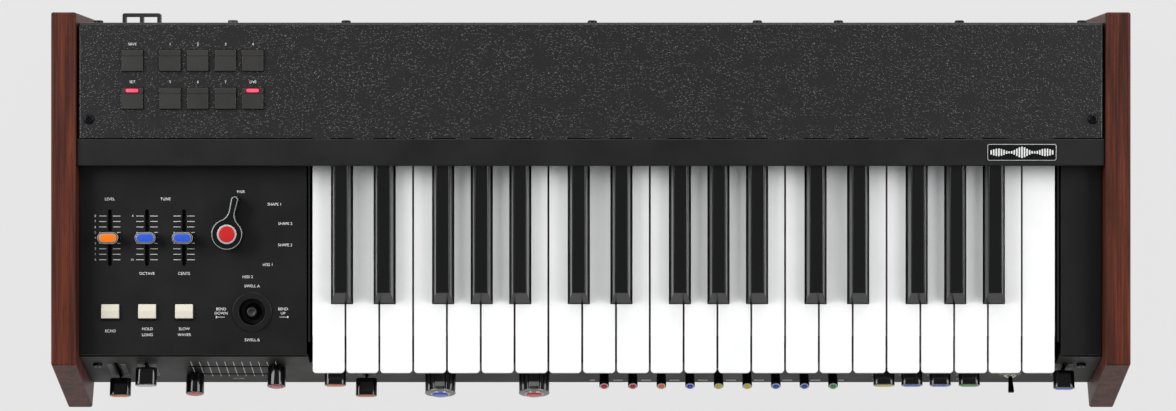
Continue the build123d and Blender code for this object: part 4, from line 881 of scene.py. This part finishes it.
bm = bmesh.new()
slider_x = [middle(f"panel_slider_{number}", RIGHT) / MM for number in (1, 2, 3)]
slider_y = middle("panel_slider_1", BACK) / MM
for x in slider_x:
    ink_scale(bm, x, slider_y, LADDER, MARKS, *RUNGS)
for mark in range(MARKS):
    level = slider_y + LADDER * (mark / (MARKS - 1) - 0.5)
    ink_text(bm, str(mark), slider_x[0] - 10.2, level, NUMERAL)
ink_text(bm, "4", slider_x[1] - 10.0, slider_y + LADDER / 2, NUMERAL)
ink_text(bm, "16", slider_x[1] - 10.4, slider_y - LADDER / 2, NUMERAL)
ink_text(bm, "LEVEL", slider_x[0], slider_y + WORD_ABOVE)
ink_text(bm, "TUNE", (slider_x[1] + slider_x[2]) / 2, slider_y + WORD_ABOVE)
ink_text(bm, "OCTAVE", slider_x[1], slider_y - WORD_BELOW)
ink_text(bm, "CENTS", slider_x[2], slider_y - WORD_BELOW)
print("ladders:", len(slider_x), "with", MARKS, "bars on each side")

# %% Ink round the selector, the joystick and the rockers
SELECTOR_WORDS = (        # words, degrees round from straight up, distance from the knob's middle
    ("PAIR", 16, 31), ("SHAPE 1", 57, 38.5), ("SHAPE 2", 79.5, 40.5), ("SHAPE 3", 101, 40.5),
    ("HISS 1", 128, 35), ("HISS 2", 156, 33),
)
STICK_ABOVE, STICK_BELOW, STICK_BESIDE = 18.2, 19.8, 21.8
ARROW = (5.0, 0.3)        # length and thickness of an arrow's shaft
ARROW_DROP = 3.6          # arrows lie this far below the joystick's middle
ARROW_HEAD = (1.0, 3.2)   # radius of a head, and how far out it lies
ROCKER_WORDS = (("ECHO",), ("HOLD", "LONG"), ("SLOW", "WAVER"))
ONE_LINE, TWO_LINES = 13.3, 11.8        # first line, below a rocker's hinge
LINE_STEP = 4.2

knob_x, knob_y = (value / MM for value in joints["selector_turn"]["pos_m"][:2])
for words, degrees, away in SELECTOR_WORDS:
    turn = math.radians(degrees)
    ink_text(bm, words, knob_x + away * math.sin(turn), knob_y + away * math.cos(turn))

stick_x, stick_y = (value / MM for value in joints["joystick_left_right"]["pos_m"][:2])
ink_text(bm, "SWELL A", stick_x, stick_y + STICK_ABOVE)
ink_text(bm, "SWELL B", stick_x, stick_y - STICK_BELOW)
for side, words in ((-1, "DOWN"), (1, "UP")):
    x, arrow_y = stick_x + side * STICK_BESIDE, stick_y - ARROW_DROP
    ink_text(bm, "BEND", x, stick_y + 2.0)
    ink_text(bm, words, x, stick_y - 1.0)
    ink_bar(bm, x, arrow_y, *ARROW)
    ink_turned(bm, disc(bm, ARROW_HEAD[0], 3), x + side * ARROW_HEAD[1], arrow_y, -side * math.pi / 2)

for number, lines in enumerate(ROCKER_WORDS, start=1):
    hinge = joints[f"rocker_{number}_tilt"]["pos_m"]
    for step, words in enumerate(lines):
        drop = ONE_LINE if len(lines) == 1 else TWO_LINES + LINE_STEP * step
        ink_text(bm, words, hinge[0] / MM, hinge[1] / MM - drop)
finish_piece("control_panel_print", bm, "print", "case", flat_seat(0, 0, panel_z))
print("control panel ink: 1 piece")

# %% Ink on the front panel: beside the sliders
FRONT_MARKS = 11
FRONT_LADDER = 30.0
FRONT_RUNGS = (3.0, 6.6)
FRONT_WORD_BELOW = 26.0
FILTER_WORD_BELOW = 13.0
CLEAR = 1.8               # ink stops short of a slot's middle by this much
STROKE_STEP = 6.0
STROKE_ENDS = (13.6, 6.0)               # how far strokes run past the upper and the lower slot
STROKE = 0.45


def slope(name):
    """X and height along the slope of a front-panel piece, in millimetres."""
    return middle(name, RIGHT) / MM, middle(name, UP_FRONT) / MM


bm = bmesh.new()
slots_y = slope("level_slider")[1] - FRONT_LADDER / 2    # this slider rests at the top of its slot
for function in FRONT_CAPS:
    x = slope(f"{function}_slider")[0]
    ink_scale(bm, x, slots_y, FRONT_LADDER, FRONT_MARKS, *FRONT_RUNGS)
    ink_text(bm, function.upper(), x, slots_y - FRONT_WORD_BELOW)

start, lower_y = slope("lower_filter_slider")
upper_y = slope("upper_filter_slider")[1]
strokes = ((upper_y + STROKE_ENDS[0], upper_y + CLEAR), (upper_y - CLEAR, lower_y + CLEAR),
           (lower_y - CLEAR, lower_y - STROKE_ENDS[1]))
for mark in range(FRONT_MARKS):
    for high, low in strokes:
        ink_bar(bm, start + STROKE_STEP * mark, (high + low) / 2, STROKE, high - low)
ink_text(bm, "FILTER", start + STROKE_STEP * (FRONT_MARKS - 1) / 2, lower_y - FILTER_WORD_BELOW)
print("front ladders:", len(FRONT_CAPS), "filter strokes:", FRONT_MARKS)

# %% Ink on the front panel: round the knobs, the toggles and the bat switch
KNOB_MARK = (0.3, 2.4, 17.6)            # width, length and distance from the middle
KNOB_SWEEP = math.radians(300)
KNOB_WORD_BELOW = 25.0
DASH = (3.6, 1.5)         # width and height of the dashes under a toggle
DASH_PLACE = (8.4, 29.4)  # how far beside its hinge, and below the knobs' middles
BAT_MARK = (0.5, 3.0, 6.8)
BAT_MARKS = 12

front_y = UP_FRONT.dot(Vector(joints["tone_turn"]["pos_m"])) / MM
for name in ("tone_knob", "sweep_knob"):
    x = joints[name.replace("_knob", "_turn")]["pos_m"][0] / MM
    for mark in range(FRONT_MARKS):
        turn = KNOB_SWEEP * (mark / (FRONT_MARKS - 1) - 0.5)
        ink_turned(bm, box_face(bm, *KNOB_MARK[:2]), x, front_y, turn, KNOB_MARK[2])
    ink_text(bm, name.split("_")[0].upper(), x, front_y - KNOB_WORD_BELOW)
for number in range(1, len(TOGGLE_TIPS) + 1):
    x = joints[f"toggle_{number}_flip"]["pos_m"][0] / MM
    for side in (-1, 1):
        ink_bar(bm, x + side * DASH_PLACE[0], front_y - DASH_PLACE[1], *DASH)
bat = Vector(joints["bat_toggle_flip"]["pos_m"])
for mark in range(BAT_MARKS):
    ink_turned(bm, box_face(bm, *BAT_MARK[:2]), bat.x / MM, UP_FRONT.dot(bat) / MM,
               2 * math.pi * mark / BAT_MARKS, BAT_MARK[2])
finish_piece("front_panel_print", bm, "print", "case",
             seat(RIGHT, UP_FRONT, OUT_FRONT, OUT_FRONT * FRONT_LEVEL))
print("front panel ink: 1 piece")

# %% [markdown]
# ## Memory buttons
#
# The caps are moulded with a window strip along the back. Two are lit: a lamp bar glows behind the
# window, and round it a dark red patch is a painted glow, the lamp's light spreading round the
# window drawn as colour. Labels are printed on the cover behind each cap.

# %% Lamps and labels on the cover
TOP_ROW = ("SAVE", "1", "2", "3", "4")
LOW_ROW = ("SET", "5", "6", "7", "LIVE")
COLUMN_STEPS = (0.0, 26.5, 45.9, 65.3, 84.5)    # the columns, from the left one
HALF_BUTTON = 7.5
LABEL_BEHIND = 11.4       # a label's middle, behind its button's
LABEL = 1.9               # its cap height
WINDOW_BEHIND = 5.4       # a window's middle, behind its button's
LAMP_LAYERS = (           # name, width, depth, top, eased edge, finish
    # the first layer is a painted glow round the lamp, the second the lamp itself
    ("lamp_painted_glow", 11.6, 3.7, 0.02, 0.01, "painted_glow"), ("lamp", 8.7, 2.3, 0.12, 0.08, "lamp"),
)

button_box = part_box("memory_buttons")
rows = (button_box[1].y / MM - HALF_BUTTON, button_box[0].y / MM + HALF_BUTTON)
columns = [button_box[0].x / MM + HALF_BUTTON + away for away in COLUMN_STEPS]
cover_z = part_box("rear_cover")[1].z
bm = bmesh.new()
for row, words in zip(rows, (TOP_ROW, LOW_ROW)):
    for x, word in zip(columns, words):
        ink_text(bm, word, x, row + LABEL_BEHIND, LABEL)
finish_piece("cover_print", bm, "print", "case", flat_seat(0, 0, cover_z))
for side, x in (("left", columns[0]), ("right", columns[-1])):
    place = flat_seat(x * MM, (rows[1] + WINDOW_BEHIND) * MM, button_box[1].z)
    for layer, width, depth, top, edge, finish in LAMP_LAYERS:
        raised(f"{layer}_{side}", lambda bm: capsule(bm, width, depth), -0.3, top, edge, finish,
               "lamp_red", "memory_buttons", place)
print("lamps: 2, labels:", len(TOP_ROW) + len(LOW_ROW))

# %% [markdown]
# ## Badge
#
# The nameplate is a small black plate with a bright border line. In place of a name it carries a
# neutral mark: a row of bars that swell and fall like a wave.

# %% Badge
BADGE_SIZE = (49.0, 12.2)
BADGE_FROM_RIGHT = 76.0   # its middle, in from the right cheek's outer face
BADGE_LAYERS = (          # name, how much smaller, corner radius, top, finish, slot
    ("border", 0.6, 1.5, 0.05, "rim", "silver_plating"), ("plate", 1.5, 1.1, 0.09, "cap", "cap_black"),
)
BARS = 25
MARK_WIDTH = 43.0
BAR_WIDTH = 1.05
BAR_HEIGHTS = (1.4, 6.4)  # lowest bar, and what the wave adds to it
WAVES = 2.5


def rounded_box(bm, width, depth, radius):
    """A rectangle with round corners."""
    face = box_face(bm, width, depth)
    bmesh.ops.bevel(bm, geom=list(face.verts), offset=radius, offset_type="OFFSET", segments=6, profile=0.5,
                    affect="VERTICES", material=-1)
    return max(bm.faces, key=lambda found: found.calc_area())


strip_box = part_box("nameboard")
badge_x = cad_box[1].x / MM - BADGE_FROM_RIGHT
badge_y = (strip_box[0].y + strip_box[1].y) / 2 / MM
place = flat_seat(badge_x * MM, badge_y * MM, strip_box[1].z)
for layer, smaller, radius, top, finish, slot in BADGE_LAYERS:
    raised(f"badge_{layer}",
           lambda bm: rounded_box(bm, BADGE_SIZE[0] - smaller, BADGE_SIZE[1] - smaller, radius),
           -0.3, top, 0.02, finish, slot, "case", place)
bm = bmesh.new()
for bar in range(BARS):
    share = bar / (BARS - 1) - 0.5
    swell = 0.5 + 0.5 * math.cos(2 * math.pi * WAVES * share)
    height = BAR_HEIGHTS[0] + BAR_HEIGHTS[1] * swell * (1 - abs(share))
    ink_bar(bm, share * MARK_WIDTH, 0.0, BAR_WIDTH, height)
finish_piece("badge_mark", bm, "print", "case", place @ Matrix.Translation((0, 0, 0.09)))
print("badge pieces:", 3)

# %% [markdown]
# ## Sockets at the back
#
# The moulded socket bodies stay as they are. Their threaded bushings and nuts are nickel, so each
# gets a ring and a hexagon of its own, placed from the mounts that the model declares.

# %% Bushings and nuts
NUTS = {"small": (3.1, 8.3), "large": (5.1, 13.3)}      # bushing radius, width across the nut's flats
SMALL_BORE = 2.5          # a small jack's bore has a radius under this
BUSHING_ENDS = (-3.0, 0.1)              # from the mouth of the socket
NUT_ENDS = (-3.1, -0.7)

jacks = [mount for mount in frame["record"]["mounts"] if mount["name"].startswith("jack_")]
for mount in jacks:
    name, bore = mount["name"], mount["dims"]["r_mm"]
    bushing, across = NUTS["small" if bore < SMALL_BORE else "large"]
    mouth = Vector(mount["pos_m"]) + BACK * mount["dims"]["length_mm"] / 2 * MM
    place = seat(-RIGHT, Vector((0, 0, 1)), BACK, mouth)
    tube(f"{name}_bushing", bushing, bore, *BUSHING_ENDS, place)
    tube(f"{name}_nut", across / math.sqrt(3), bushing - 0.1, *NUT_ENDS, place, segments=6)
print("jacks:", len(jacks))

# %% [markdown]
# ## Felt inside
#
# A strip of red felt is glued along the front of the rail that stops the keys. It lies deep under
# the keys and keeps the rail from ringing.

# %% Felt strip
FELT = (1.0, 8.0)         # thickness and width
FELT_SHORT = 4.0          # the strip is this much shorter than the frame is wide
RAIL_FROM_FRONT = 7.0     # front of the rail behind the front of the frame
FELT_TOP = 28.0           # felt's upper edge below the top of the frame

frame_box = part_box("key_frame")
bm = bmesh.new()
top = pull(bm, box_face(bm, (frame_box[1].x - frame_box[0].x) / MM - FELT_SHORT, FELT[0]), -FELT[1], 0.0)
ease(bm, top, 0.3)
finish_piece("rail_felt", bm, "felt", "case",
             flat_seat((frame_box[0].x + frame_box[1].x) / 2,
                       frame_box[0].y + (RAIL_FROM_FRONT - FELT[0] / 2) * MM, frame_box[1].z - FELT_TOP * MM))
print("felt strips: 1")

# %% [markdown]
# ## The light table
#
# The table is a sheet of opal acrylic lit from below: it glows evenly and takes only a trace of
# shadow. It belongs to the studio, not to the instrument.

# %% Light table
TABLE_HALF = 6.0          # half its width, in metres


def opal():
    """Opal acrylic, lit from below."""
    material, tree, shader = start_material("Opal acrylic, lit")
    feed(tree, shader, Base_Color=linear("#2c2c2c"), Roughness=0.9, Specular_IOR_Level=0.0,
         Emission_Color=linear("#e3e3e3"), Emission_Strength=1.0)
    return material


studio_floor = bmesh.new()
bmesh.ops.create_grid(studio_floor, x_segments=1, y_segments=1, size=TABLE_HALF)
floor_mesh = bpy.data.meshes.new("studio_floor")
studio_floor.to_mesh(floor_mesh)
studio_floor.free()
floor_mesh.materials.append(opal())
floor = bpy.data.objects.new("studio_floor", floor_mesh)
bpy.context.scene.collection.objects.link(floor)
print("light table: 1")
